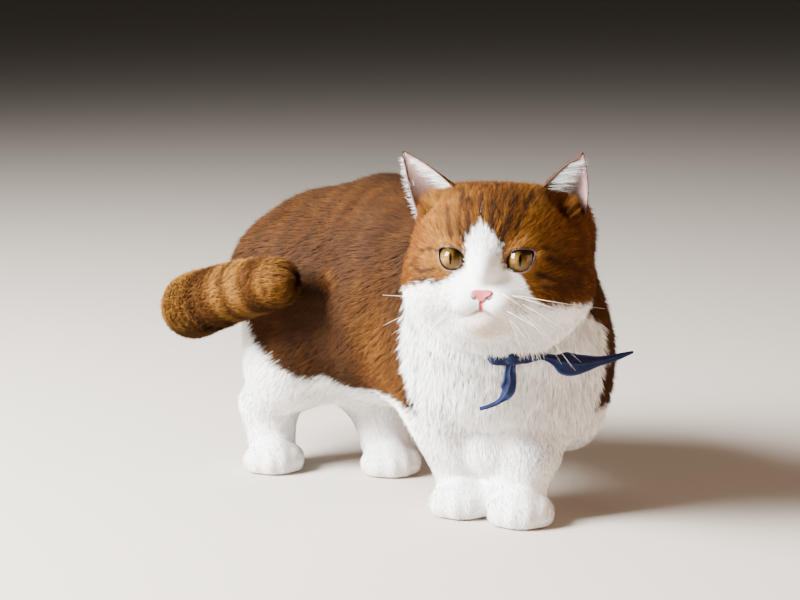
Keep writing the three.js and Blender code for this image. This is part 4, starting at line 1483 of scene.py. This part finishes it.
def hair_object(name, grown, roots, kind, masks, tones):
    """One piece of the coat, its hairs coloured by the skin's masks at their roots."""
    points, faces, along, shade, each = grown
    thing = mesh_object(name, points, faces)
    mesh = thing.data
    for mask, values in masks.items():
        set_mask(mesh, mask, np.repeat(values, each))
    set_mask(mesh, "tone", np.repeat(tones, each))
    set_mask(mesh, "along", along)
    mesh.normals_split_custom_set_from_vertices(unit(shade).astype(np.float32))
    flat = np.clip(unwrap(roots, kind), 0.002, 0.998)
    corner = np.arange(each)
    patch = np.stack([(corner % 2) * 0.003, (corner // 2) * 0.006 / each], axis=1) - 0.0015
    places = (flat[:, None, :] + patch[None]).reshape(-1, 2)
    layer = mesh.uv_layers.new(name="OFBake")
    layer.data.foreach_set("uv", places[faces.ravel()].astype(np.float32).ravel())
    return thing


def combed(roots, normal, on_ear):
    """The lie of the coat, which runs up to the tips on the ears."""
    way = lie(roots, normal)
    for ear in EARS.values():
        close = on_ear & (np.linalg.norm(roots - ear.base - ear.axis * 15, axis=1) < 45)
        way[close] = flat_way(np.tile(ear.axis, (close.sum(), 1)), normal[close])
    return way


def swirled(way, roots, normal, on_trunk, lead, rng):
    """The lie turned a little this way and that, the hairs of a tuft nearly alike."""
    swirl = 0.26 * noise(roots, 9, 11) + 0.3 * noise(roots, 24, 17) * on_trunk
    swirl = swirl + 0.14 * noise(roots, 3.5, 12) + rng.normal(0, 0.1, len(roots))
    swirl = swirl[lead] + rng.normal(0, 0.08, len(roots))
    return flat_way(turn_about(way, normal, swirl), normal)


def mixed_lengths(roots, on_ear, lead, rng, longer):
    """The length of each hair, with a few longer guard hairs."""
    count = len(roots)
    length = hair_length(roots) * longer
    length *= rng.uniform(0.88, 1.12, count)[lead] * rng.uniform(0.8, 1.12, count)
    length *= 1 + 0.5 * ear_hollow(roots)
    guard = rng.random(count) < 0.05
    length[guard] *= 1.35
    length[on_ear] = 2.6 * rng.uniform(0.7, 1.2, on_ear.sum())
    return length


def mixed_lifts(roots, from_nose, on_trunk, lead, rng):
    """How far each hair stands up at its root, as an angle."""
    count = len(roots)
    lift = 0.54 + 0.06 * noise(roots, 5, 13) + rng.normal(0, 0.08, count)[lead] + rng.normal(0, 0.07, count)
    lift = lift - 0.05 * (1 - ramp(10, 26, from_nose)) + 0.1 * on_trunk + 0.35 * buried(roots)
    return lift + 0.2 * ear_hollow(roots) - 0.1 * on_tail(roots)


def mixed_tones(roots, from_nose, lead, rng):
    """How bright each hair is, from its tuft's tone and its own."""
    count = len(roots)
    tones = 0.48 + 0.13 * noise(roots, 6, 14) + 0.1 * noise(roots, 20, 15)
    tones = tones + rng.normal(0, 0.13, count)[lead]
    tones = tones + rng.normal(0, 0.12, count) * (2 - ramp(30, 60, from_nose))
    return np.clip(tones - 1.7 * whisker_spots(roots), -0.6, 1)


def grow_coat(skin, settings):
    """The fur of the whole cat, apart from the long hairs in its ears, in pieces."""
    rng = np.random.default_rng(settings.seed)
    quick = 1.0
    roots, normal, on_ear = roots_on(skin.data, rng, settings.thickness * quick)
    keep = ~bare(roots)
    roots, normal, on_ear = roots[keep], normal[keep], on_ear[keep]
    count = len(roots)
    from_nose = far(roots, NOSE_TIP)
    on_trunk = 1 - ramp(-8, 8, neck_height(roots))

    lead = leaders_of(roots, HAIRS_IN_TUFT, rng)
    way = swirled(combed(roots, normal, on_ear), roots, normal, on_trunk, lead, rng)
    gather = ((roots[lead] - roots) * np.cross(way, normal)).sum(1) * (0.4 + 0.2 * markings(roots)["ginger"])
    length = mixed_lengths(roots, on_ear, lead, rng, settings.length)
    width = 0.24 + 0.2 * ramp(20, 60, from_nose) + 0.08 * on_trunk * ramp(30, 90, roots[:, 2])
    width *= rng.uniform(0.75, 1.2, count) / quick**0.5
    lift = mixed_lifts(roots, from_nose, on_trunk, lead, rng)
    tones = mixed_tones(roots, from_nose, lead, rng)
    stray = rng.normal(0, 0.9, count)[lead] + rng.normal(0, 0.8, count)
    painted = markings(roots + way * (length * 0.55)[:, None], stray)

    piece = piece_of(roots)
    piece[on_ear] = PIECE_NAMES.index("ears")
    made = []
    for index, kind in enumerate(PIECE_NAMES):
        mine = np.nonzero(piece == index)[0]
        if not len(mine):
            continue
        most = PIECE_TRIANGLES // 3  # a hair has three
        if len(mine) > most:
            mine = np.sort(rng.choice(mine, most, replace=False))
        shape = [values[mine] for values in (roots, normal, way, length, width, lift, gather)]
        grown = hairs(*shape, rng)
        masks = {name: values[mine] for name, values in painted.items()}
        made.append(hair_object(f"coat_{kind}", grown, roots[mine], kind, masks, tones[mine]))
    return made


# Kerchief

SCARF_FRONT = np.array([-0.68, -0.72, 0.1]) / np.linalg.norm([0.68, 0.72, 0.1])


def neck_ring(count, sink):
    """Places round the neck in the plane of the kerchief, sunk below the outline of the coat, and deeper
    where the coat lies over them."""
    angle = full_turn(count)[:, None]
    way = np.cos(angle) * SCARF_SIDE + np.sin(angle) * SCARF_UP
    low, high = np.full(count, 20.0), np.full(count, 100.0)
    for _ in range(18):
        half = (low + high) / 2
        inside = body_outline(NECK_MIDDLE + way * half[:, None]) < 0
        low, high = np.where(inside, half, low), np.where(inside, high, half)
    ring = NECK_MIDDLE + way * (low - sink)[:, None]
    return ring - way * (SCARF_RADIUS * 1.9 * (1 - scarf_shown(ring)))[:, None], way


def build_band():
    """The twisted roll: a ring of three soft strands with creases between them."""
    count, sides = 220, 26
    centre, way = neck_ring(count, SCARF_RADIUS * 0.45)
    turn = full_turn(sides)
    around = full_turn(count)[:, None]
    wave = turn[None] * 3 + around * 27
    radius = SCARF_RADIUS * (0.9 + 0.1 * np.abs(np.cos(wave / 2)) ** 0.6)
    radius = radius + 0.16 * np.sin(around * 61 + turn[None] * 5)
    radius = radius + 0.1 * np.sin(around * 131 - turn[None] * 7)
    out = way[:, None] * np.cos(turn)[None, :, None] + NECK_WAY * np.sin(turn)[None, :, None]
    points = centre[:, None] + radius[..., None] * out
    faces = quads_of(looped(np.arange(count * sides).reshape(count, sides), 1))
    band = mesh_object("kerchief_band", points.reshape(-1, 3), faces)
    set_mask(band.data, "hem", np.abs(np.cos(wave / 2)).ravel() < 0.16)
    return band


KNOT_RADII = [4.9, 4.0, 4.2]


def build_knot():
    """The knot: a rounded lump with the folds of the cloth wrapped over it."""
    rows, columns = 40, 48
    tilt, turn = np.meshgrid(np.linspace(0.04, np.pi - 0.04, rows), full_turn(columns), indexing="ij")
    flat = np.stack([np.sin(tilt) * np.cos(turn), np.sin(tilt) * np.sin(turn), np.cos(tilt)], axis=-1)
    front = np.exp(-((np.mod(turn - 1.5 * np.pi + np.pi, 2 * np.pi) - np.pi) ** 2) / 1.2)
    fold = 0.055 * np.sin(tilt * 9 + 1.6 * np.cos(turn)) * np.sin(tilt) + 0.05 * front
    pinch = 1 - 0.12 * np.exp(-(((tilt - np.pi / 2) / 0.25) ** 2))
    flat = flat * (1 + fold)[..., None] * np.stack([pinch, np.ones_like(pinch), np.ones_like(pinch)], axis=-1)
    points = (flat.reshape(-1, 3) * KNOT_RADII) @ turned(-45).T + KNOT
    number = np.arange(rows * columns).reshape(rows, columns)
    faces = [*quads_of(looped(number)), number[0, ::-1], number[-1]]
    knot = mesh_from_lists("kerchief_knot", points, faces)
    set_mask(knot.data, "hem", 1 - ramp(0, 0.02, np.abs(fold + 0.03).ravel()))
    return knot


HANGING = [(-38.9, -131, 109), (-38.5, -129.6, 101.4), (-36.2, -126.4, 93.2), (-34.7, -123.4, 87.5)]
HANGING += [(-35.8, -118.4, 82), (-38.4, -113.4, 78.9), (-41, -108, 76.7)]
SIDEWAYS = [(-38.8, -132.3, 110.2), (-31.4, -136.9, 109.2), (-24.7, -142.2, 110.4), (-12.9, -152.6, 105.7)]
SIDEWAYS += [(-4.4, -158.2, 105.8), (3.9, -162.3, 106.7), (13, -165.8, 108.1), (24.4, -170.1, 110.4)]
# Each end: its path, its widths and its twists along it, and how worn the fold in its middle is
ENDS = {
    "hanging": (HANGING, [4.5, 6.5, 8.2, 9.2, 7, 3.2, 2.6, 2.4], [0, 25, -15, 10, 35, 10, 0, 0], 0.8),
    "side": (SIDEWAYS, [2.6, 3, 5, 14, 10.5, 5.8, 4, 1.6], [0, 0, 0, -10, 5, 15, 10, 0], 0.5),
}
SHEET_LEAST = 10  # the least flat width that an end is given
SHEET_SPARE = 1.02  # how much larger than the cloth the flat size is given


def build_end(name, points, widths, twists, worn):
    """A strip of the doubled cloth along a path, roof-shaped and creased along its length."""
    rows, columns = 72, 22
    path = curve([SHIFT + point for point in points], rows)
    way = slope(path)
    share = np.linspace(0, 1, rows)
    places = np.linspace(0, 1, len(widths))
    half = curve([(a, w, 0) for a, w in zip(places, widths)], rows * 4)
    half = np.interp(share, half[:, 0], half[:, 1]) / 2
    twist = np.radians(np.interp(share, places, twists))
    across = turn_about(unit(np.cross(way, SCARF_FRONT)), way, twist)
    out = np.cross(across, way)
    x = np.linspace(-1, 1, columns)
    crease = 0.35 * (1 - np.abs(x))[None] * half[:, None]
    crease = crease + 0.09 * half[:, None] * np.cos(x * 7.5)[None] * np.sin(share * 5 + 0.6)[:, None]
    crease = crease + 0.25 * np.sin(share * 17)[:, None] * (x**2)[None]
    middle_sheet = path[:, None] + across[:, None] * (x[None] * half[:, None])[..., None]
    middle_sheet = middle_sheet + out[:, None] * crease[..., None]
    wall = 0.5 * (1 - 0.5 * x**2)[None, :, None] * out[:, None]
    points = np.concatenate([(middle_sheet + wall).reshape(-1, 3), (middle_sheet - wall).reshape(-1, 3)])
    number = np.arange(rows * columns).reshape(rows, columns)
    quads = quads_of(number.T)
    rim, after = rim_of(number)
    size = rows * columns
    edge = np.stack([after, rim, rim + size, after + size], axis=-1)
    thing = mesh_object(name, points, np.concatenate([quads, quads[:, ::-1] + size, edge]))
    hem = np.maximum(ramp(0.8, 0.88, np.abs(x)), worn * (1 - ramp(0.03, 0.09, np.abs(x))))
    set_mask(thing.data, "hem", np.tile(hem, rows * 2))
    reach = np.linalg.norm(np.diff(path, axis=0), axis=1).sum()
    flat = np.linalg.norm(np.diff(middle_sheet, axis=1), axis=2).sum(1)
    corner = middle_sheet[:-1, :-1]
    patches = np.cross(middle_sheet[1:, :-1] - corner, middle_sheet[:-1, 1:] - corner)
    area = np.linalg.norm(patches, axis=2).sum()
    flat_size = (max(flat.max(), SHEET_LEAST) * MM * SHEET_SPARE, reach * MM * SHEET_SPARE)
    return thing, flat_size, area * MM * MM


# Materials


class Paint:
    """A material, with short ways to add and join its shading nodes."""

    def __init__(self, name, roughness, **sockets):
        self.material = bpy.data.materials.new(name)
        self.material.use_nodes = True
        tree = self.material.node_tree
        self.nodes, self.links = tree.nodes, tree.links
        self.surface = self.nodes["Principled BSDF"]
        self.surface.inputs["Roughness"].default_value = roughness
        for socket, value in sockets.items():
            self.put(self.surface.inputs[socket.replace("_", " ")], value)

    def put(self, socket, value):
        if isinstance(value, bpy.types.NodeSocket):
            self.links.new(value, socket)
        else:
            socket.default_value = value

    def node(self, kind, sockets, **settings):
        node = self.nodes.new("ShaderNode" + kind)
        for name, value in settings.items():
            setattr(node, name, value)
        for name, value in sockets.items():
            self.put(node.inputs[name], value)
        return node

    def mask(self, name):
        return self.node("Attribute", {}, attribute_name=name).outputs["Fac"]

    def math(self, operation, a, b=0.0, c=0.0):
        return self.node("Math", {0: a, 1: b, 2: c}, operation=operation).outputs[0]

    def step(self, value, low, high):
        """0 below low and 1 above high."""
        sockets = {"Value": value, "From Min": low, "From Max": high}
        return self.node("MapRange", sockets, interpolation_type="SMOOTHSTEP").outputs["Result"]

    def mix(self, share, a, b):
        sockets = {0: share, 6: colour_of(a), 7: colour_of(b)}
        return self.node("Mix", sockets, data_type="RGBA").outputs[2]

    def scaled(self, colour, factor):
        """A colour made brighter or darker by a factor."""
        grey = self.node("CombineColor", {0: factor, 1: factor, 2: factor}).outputs[0]
        sockets = {0: 1.0, 6: colour_of(colour), 7: grey}
        return self.node("Mix", sockets, data_type="RGBA", blend_type="MULTIPLY").outputs[2]

    def squares(self, a, b):
        """The sum of two squares."""
        return self.math("ADD", self.math("MULTIPLY", a, a), self.math("MULTIPLY", b, b))

    def place(self):
        return self.node("TexCoord", {}).outputs["Object"]

    def noise(self, scale, detail=2.0):
        sockets = {"Vector": self.place(), "Scale": scale, "Detail": detail}
        return self.node("TexNoise", sockets).outputs["Fac"]

    def bump(self, height, strength, distance):
        sockets = {"Height": height, "Strength": strength, "Distance": distance}
        self.put(self.surface.inputs["Normal"], self.node("Bump", sockets).outputs["Normal"])

    def finish(self, colour):
        self.put(self.surface.inputs["Base Color"], colour_of(colour))
        return self.material


def colour_of(value):
    return value if isinstance(value, bpy.types.NodeSocket) else (*tuple(value)[:3], 1.0)


def coat_colour(paint, settings, tone):
    """The colour of the coat from its masks, the same on the skin and on the hair. A high tone is golden in
    the orange and bright in the white, and a low one brown."""
    orange = paint.mix(paint.mask("cream"), settings.ginger, settings.cream)
    orange = paint.mix(paint.math("MULTIPLY", paint.step(tone, 0.4, 1.0), 0.8), orange, settings.gold)
    orange = paint.mix(paint.mask("dark"), orange, settings.dark)
    orange = paint.scaled(orange, paint.math("MULTIPLY_ADD", tone, 0.6, 0.68))
    # the chin's beige, partly painted shade under the mouth
    white = paint.mix(paint.math("MULTIPLY", paint.mask("chin"), 0.75), settings.white, settings.chin)
    white = paint.scaled(white, paint.math("MULTIPLY_ADD", tone, 0.6, 0.66))
    return paint.mix(paint.mask("ginger"), white, orange)


def skin_material(settings):
    paint = Paint("coat_ground", 0.75, Specular_IOR_Level=0.05)
    # the skin takes a low tone, a little darker than the hair: painted shade under the coat
    colour = coat_colour(paint, settings, 0.3)
    inside = paint.step(paint.mask("ear"), 1.3, 1.8)
    colour = paint.mix(inside, colour, settings.ear_pink)
    colour = paint.mix(paint.mask("lid_rim"), colour, settings.lid_pink)
    # dark_lip_and_shade gives painted shade along the upper rim of the lids and round the nostrils, and the
    # dark of the mouth's fold
    colour = paint.mix(paint.mask("lid_shadow"), colour, settings.dark_lip_and_shade)
    colour = paint.mix(paint.math("MULTIPLY", paint.mask("lip_line"), 0.6), colour, settings.dark_lip_and_shade)
    colour = paint.mix(paint.mask("philtrum"), colour, settings.lip_pink)
    # painted shade round the nostrils
    colour = paint.mix(paint.mask("nostril"), colour, settings.dark_lip_and_shade)
    paint.bump(paint.noise(900.0, 3.0), 0.35, 0.0006)
    return paint.finish(colour)


def hair_material(settings):
    paint = Paint("coat_hair", 0.7, Specular_IOR_Level=0.04)
    along = paint.step(paint.mask("along"), 0.0, 0.9)
    colour = coat_colour(paint, settings, paint.mask("tone"))
    # each hair darker towards its root: painted shade deep in the coat, between the hairs
    return paint.finish(paint.scaled(colour, paint.math("MULTIPLY_ADD", along, 0.5, 0.64)))


def iris_material(settings):
    """Amber round a narrow upright pupil, greener and then dark towards the edge, with fine rays."""
    paint = Paint("iris", 0.6, Specular_IOR_Level=0.0)
    across, above = paint.mask("across"), paint.mask("above")
    reach = paint.math("SQRT", paint.squares(across, above))
    turn = paint.math("MULTIPLY", paint.math("ARCTAN2", above, across), 9.0)
    rays = paint.node("CombineXYZ", {0: turn, 1: paint.math("MULTIPLY", reach, 0.25), 2: 0.0})
    streak = paint.node("TexNoise", {"Vector": rays.outputs[0], "Scale": 1.6, "Detail": 4.0}).outputs["Fac"]
    colour = paint.mix(paint.step(reach, 2.2, 6.2), settings.iris_inner, settings.iris_outer)
    rayed = paint.math("MULTIPLY", paint.step(streak, 0.42, 0.7), 0.55)
    colour = paint.mix(rayed, colour, settings.iris_light)
    colour = paint.mix(paint.step(reach, 6.4, 8.0), colour, (0.012, 0.009, 0.006))
    lid_shade = paint.math("MULTIPLY", paint.step(above, -1.0, 6.0), 0.75)
    colour = paint.scaled(colour, paint.math("SUBTRACT", 1.0, lid_shade))
    wide = paint.math("DIVIDE", across, settings.pupil_width / MM / 2)
    tall = paint.math("DIVIDE", above, settings.pupil_height / MM / 2)
    slit = paint.squares(wide, tall)
    return paint.finish(paint.mix(paint.step(slit, 0.8, 1.25), (0.004, 0.004, 0.004), colour))


def cornea_material():
    """Clear, with a bright reflection."""
    paint = Paint("cornea", 0.03)
    clear = paint.node("BsdfTransparent", {}).outputs[0]
    gloss = paint.node("BsdfGlossy", {"Roughness": 0.04}).outputs[0]
    share = paint.node("Fresnel", {"IOR": 1.376}).outputs[0]
    mixed = paint.node("MixShader", {0: share, 1: clear, 2: gloss}).outputs[0]
    paint.nodes.remove(paint.surface)
    paint.links.new(mixed, paint.nodes["Material Output"].inputs["Surface"])
    return paint.material


def plain_material(name, colour, roughness, **sockets):
    return Paint(name, roughness, **sockets).finish(colour)


def leather_material(settings):
    """The pink bare nose: finely pebbled, with painted shade in the nostrils."""
    paint = Paint("nose_leather", 0.38)
    colour = paint.mix(paint.noise(700.0), settings.nose_pink, [c * 0.8 for c in settings.nose_pink])
    pebbles = paint.node("TexVoronoi", {"Vector": paint.place(), "Scale": 1700.0})
    paint.bump(pebbles.outputs["Distance"], 0.3, 0.0002)
    # the nostrils painted nearly black: painted shade in their openings
    return paint.finish(paint.mix(paint.mask("hollow"), colour, (0.035, 0.008, 0.008)))


def cloth_material(settings):
    """Blue cotton: a fine weave, worn paler along its hems and folds."""
    paint = Paint("kerchief_cotton", 0.85, Specular_IOR_Level=0.1)
    threads = {"Vector": paint.place(), "Scale": 900.0, "Distortion": 2.0}
    weave = paint.node("TexWave", threads, bands_direction="DIAGONAL")
    worn = paint.step(paint.noise(160.0, 4.0), 0.35, 0.7)
    colour = paint.mix(worn, settings.cloth, [c * 1.7 for c in settings.cloth])
    colour = paint.mix(paint.math("MULTIPLY", paint.mask("hem"), 0.6), colour, settings.cloth_pale)
    paint.bump(weave.outputs["Fac"], 0.35, 0.0003)
    return paint.finish(colour)


# Settings


def colour_setting(name, description, default):
    return FloatVectorProperty(
        name=name, description=description, default=default, size=3, min=0, max=1, subtype="COLOR"
    )


def size_setting(name, description, default, low, high):
    return FloatProperty(
        name=name, description=description, default=default, min=low, max=high, unit="LENGTH"
    )


def share_setting(name, description, low):
    return FloatProperty(name=name, description=description, default=1.0, min=low, max=1.5, subtype="FACTOR")


def power_setting(name, description, default):
    return FloatProperty(name=name, description=description, default=default, min=0, max=500, unit="POWER")


def seed_setting(name, description, default, most):
    return IntProperty(name=name, description=description, default=default, min=0, max=most)


class CatSkinSettings(bpy.types.PropertyGroup):
    cell: size_setting("Mesh size", "The size of most of the skin's faces", 0.0022, 0.0015, 0.006)
    ear_pink: colour_setting("Ear pink", "The bare skin inside the ears", (0.27, 0.17, 0.15))
    lid_pink: colour_setting("Lid pink", "The bare rim of the lids", (0.14, 0.08, 0.075))
    # the dark of the mouth's fold, also used as painted shade on the upper lids and round the nostrils
    dark_lip_and_shade: colour_setting("Lip", "The dark fold of the mouth", (0.07, 0.035, 0.025))
    lip_pink: colour_setting("Groove", "The groove below the nose", (0.42, 0.1, 0.09))
    # the chin's beige, also used as painted shade under the mouth
    chin: colour_setting("Chin", "The beige of the chin", (0.62, 0.42, 0.32))
    ginger: colour_setting("Orange", "The orange of the coat", (0.064, 0.0185, 0.0027))
    gold: colour_setting("Gold", "The tips of the brightest orange hairs", (0.18, 0.076, 0.012))
    # dark also carries the dark mask's painted shade on the left cheek and by the left ear, and its painted
    # shadow of the tail
    dark: colour_setting("Dark", "The dark streaks of the coat", (0.031, 0.0125, 0.0045))
    cream: colour_setting("Cream", "The pale orange of the coat", (0.25, 0.108, 0.021))
    white: colour_setting("White", "The white of the coat", (0.9, 0.88, 0.85))


class CatCoatSettings(bpy.types.PropertyGroup):
    seed: seed_setting("Seed", "Which random coat is grown", 7, 999)
    thickness: share_setting("Thickness", "How dense the hair is", 0.05)
    length: share_setting("Length", "How long the hair is", 0.3)


class CatFaceSettings(bpy.types.PropertyGroup):
    pupil_width: size_setting("Pupil width", "The width of the pupils", 0.0017, 0.001, 0.008)
    pupil_height: size_setting("Pupil height", "The height of the pupils", 0.0068, 0.004, 0.009)
    iris_inner: colour_setting("Inner iris", "The iris round the pupil", (0.22, 0.1, 0.017))
    iris_outer: colour_setting("Outer iris", "The iris near its edge", (0.13, 0.07, 0.015))
    iris_light: colour_setting("Iris rays", "The pale rays of the iris", (0.36, 0.22, 0.04))
    nose_pink: colour_setting("Nose", "The bare skin of the nose", (0.42, 0.078, 0.088))
    whisker_seed: seed_setting("Whisker seed", "Which random whiskers are made", 4, 99)


class CatScarfSettings(bpy.types.PropertyGroup):
    cloth: colour_setting("Cloth", "The blue of the kerchief", (0.0065, 0.0095, 0.03))
    cloth_pale: colour_setting("Worn cloth", "The kerchief along its hems", (0.042, 0.06, 0.15))


class CatStageSettings(bpy.types.PropertyGroup):
    key_power: power_setting("Key light", "The power of the main light", 330.0)
    fill_power: power_setting("Fill light", "The power of the light from the right", 34.0)
    floor: colour_setting("Floor", "The colour of the floor", (0.44, 0.385, 0.33))


# Operators


def dress(thing, material):
    thing.data.materials.append(material)
    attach(thing, "root")
    return thing


class CAT_OT_skin(bpy.types.Operator):
    """Make the skin of the whole cat with its ears, lids and mouth"""

    bl_idname = "cat.skin"
    bl_label = "Make Skin"

    def execute(self, context):
        settings = context.scene.cat_skin
        skin = build_skin(settings.cell / MM)
        dress(skin, skin_material(settings))
        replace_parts(skin, "head", "neck", "torso", "ear_right", "ear_left")
        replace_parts(skin, *[f"leg_{name}" for name in LEGS], "tail_base", "tail_middle", "tail_tip")
        return {"FINISHED"}


class CAT_OT_coat(bpy.types.Operator):
    """Grow the short fur over the skin, in several pieces"""

    bl_idname = "cat.coat"
    bl_label = "Grow Coat"

    def execute(self, context):
        skin = bpy.data.objects.get("skin")
        if skin is None:
            raise RuntimeError("the skin is made before the coat")
        material = hair_material(context.scene.cat_skin)
        settings = context.scene.cat_coat
        for piece in [*grow_coat(skin, settings), build_ear_tufts(settings.seed)]:
            dress(piece, material)
        return {"FINISHED"}


class CAT_OT_eyes(bpy.types.Operator):
    """Make the eyes: balls, clear corneas and the edges of the lids"""

    bl_idname = "cat.eyes"
    bl_label = "Make Eyes"

    def execute(self, context):
        settings = context.scene.cat_face
        iris, cornea = iris_material(settings), cornea_material()
        rim = plain_material("lid_edge", (0.03, 0.016, 0.012), 0.3)
        for node, gaze in GAZES.items():
            ball, clear, edge = build_eye(node.split("_")[1], gaze)
            for thing, material in ((ball, iris), (clear, cornea), (edge, rim)):
                dress(thing, material)
            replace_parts(ball, node)
        return {"FINISHED"}


class CAT_OT_nose(bpy.types.Operator):
    """Make the bare nose and the whiskers"""

    bl_idname = "cat.nose"
    bl_label = "Make Nose and Whiskers"

    def execute(self, context):
        settings = context.scene.cat_face
        nose = dress(build_nose(), leather_material(settings))
        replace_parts(nose, "nose")
        horn = plain_material("whisker", (0.85, 0.76, 0.6), 0.35)
        dress(build_whiskers(settings.whisker_seed), horn)
        return {"FINISHED"}


class CAT_OT_scarf(bpy.types.Operator):
    """Make the kerchief: its roll, its knot and its two ends"""

    bl_idname = "cat.scarf"
    bl_label = "Make Kerchief"

    def execute(self, context):
        cloth = cloth_material(context.scene.cat_scarf)
        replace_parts(dress(build_band(), cloth), "scarf_band")
        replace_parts(dress(build_knot(), cloth), "scarf_knot")
        for name, shape in ENDS.items():
            end, flat, area = build_end(f"kerchief_end_{name}", *shape)
            dress(end, cloth)
            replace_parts(end, f"scarf_end_{name}")
        return {"FINISHED"}


def area_light(name, place, aim, power, size, colour):
    data = bpy.data.lights.new(name, "AREA")
    data.energy, data.size, data.color = power, size, colour
    light = bpy.data.objects.new(name, data)
    bpy.context.scene.collection.objects.link(light)
    light.location = place
    light.rotation_euler = (Vector(aim) - light.location).to_track_quat("-Z", "Y").to_euler()
    return light


CAMERA_PLACE = SHIFT + [-947.5, -947.5, 339]
CAMERA_PITCH = np.radians(9.07)
CAMERA_LENS = 95.85
FLOOR_REACH, FLOOR_LEVEL = 2e4, -0.2
ROOM_COLOUR, ROOM_STRENGTH = (0.8, 0.73, 0.65, 1), 0.06


class CAT_OT_stage(bpy.types.Operator):
    """Set the floor, the lights and the camera"""

    bl_idname = "cat.stage"
    bl_label = "Set Stage"

    def execute(self, context):
        settings = context.scene.cat_stage
        around = ((-1, -1), (1, -1), (1, 1), (-1, 1))
        corners = [(x * FLOOR_REACH, y * FLOOR_REACH, FLOOR_LEVEL) for x, y in around]
        floor = mesh_from_lists("floor", np.array(corners), [(0, 1, 2, 3)])
        floor.data.materials.append(plain_material("floor", settings.floor, 0.9))
        top_power = settings.fill_power * 0.2
        lights = [
            area_light("key", (-1.26, 0.56, 0.95), (0, 0, 0.12), settings.key_power, 0.8, (0.96, 0.98, 1.0)),
            area_light("fill", (0.7, -1.5, 0.35), (0, 0, 0.1), settings.fill_power, 1.4, (1.0, 0.68, 0.48)),
            area_light("top", (0.3, 0.5, 1.7), (0, 0, 0.1), top_power, 1.2, (1.0, 0.88, 0.75)),
        ]
        world = bpy.data.worlds.new("room")
        world.use_nodes = True
        world.node_tree.nodes["Background"].inputs["Color"].default_value = ROOM_COLOUR
        world.node_tree.nodes["Background"].inputs["Strength"].default_value = ROOM_STRENGTH
        context.scene.world = world
        data = bpy.data.cameras.new("camera")
        data.sensor_width, data.lens = 36, CAMERA_LENS
        camera = bpy.data.objects.new("camera", data)
        context.scene.collection.objects.link(camera)
        camera.location = Vector(CAMERA_PLACE * MM)
        aim = Vector(FACE_BACK * np.cos(CAMERA_PITCH) - [0, 0, np.sin(CAMERA_PITCH)])
        camera.rotation_euler = aim.to_track_quat("-Z", "Y").to_euler()
        context.scene.camera = camera
        return {"FINISHED"}


OPERATORS = [CAT_OT_skin, CAT_OT_coat, CAT_OT_eyes, CAT_OT_nose, CAT_OT_scarf, CAT_OT_stage]
SETTINGS = {
    "cat_skin": CatSkinSettings,
    "cat_coat": CatCoatSettings,
    "cat_face": CatFaceSettings,
    "cat_scarf": CatScarfSettings,
    "cat_stage": CatStageSettings,
}


class CAT_PT_panel(bpy.types.Panel):
    """Lists the settings and the pieces of the cat"""

    bl_idname = "CAT_PT_panel"
    bl_label = "Munchkin Cat"
    bl_space_type = "VIEW_3D"
    bl_region_type = "UI"
    bl_category = "Cat"

    def draw(self, context):
        for name, group in SETTINGS.items():
            box = self.layout.box()
            for prop in group.__annotations__:
                box.prop(getattr(context.scene, name), prop)
        for operator in OPERATORS:
            self.layout.operator(operator.bl_idname)


def register():
    for group in SETTINGS.values():
        bpy.utils.register_class(group)
    for name, group in SETTINGS.items():
        setattr(bpy.types.Scene, name, PointerProperty(type=group))
    for operator in OPERATORS:
        bpy.utils.register_class(operator)
    bpy.utils.register_class(CAT_PT_panel)


def unregister():
    bpy.utils.unregister_class(CAT_PT_panel)
    for operator in reversed(OPERATORS):
        bpy.utils.unregister_class(operator)
    for name in SETTINGS:
        delattr(bpy.types.Scene, name)
    for group in SETTINGS.values():
        bpy.utils.unregister_class(group)


def main():
    """Makes the whole scene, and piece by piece."""
    register()
    bpy.ops.cat.skin()
    bpy.ops.cat.coat()
    bpy.ops.cat.eyes()
    bpy.ops.cat.nose()
    bpy.ops.cat.scarf()
    bpy.ops.cat.stage()


if __name__ == "__main__":
    main()
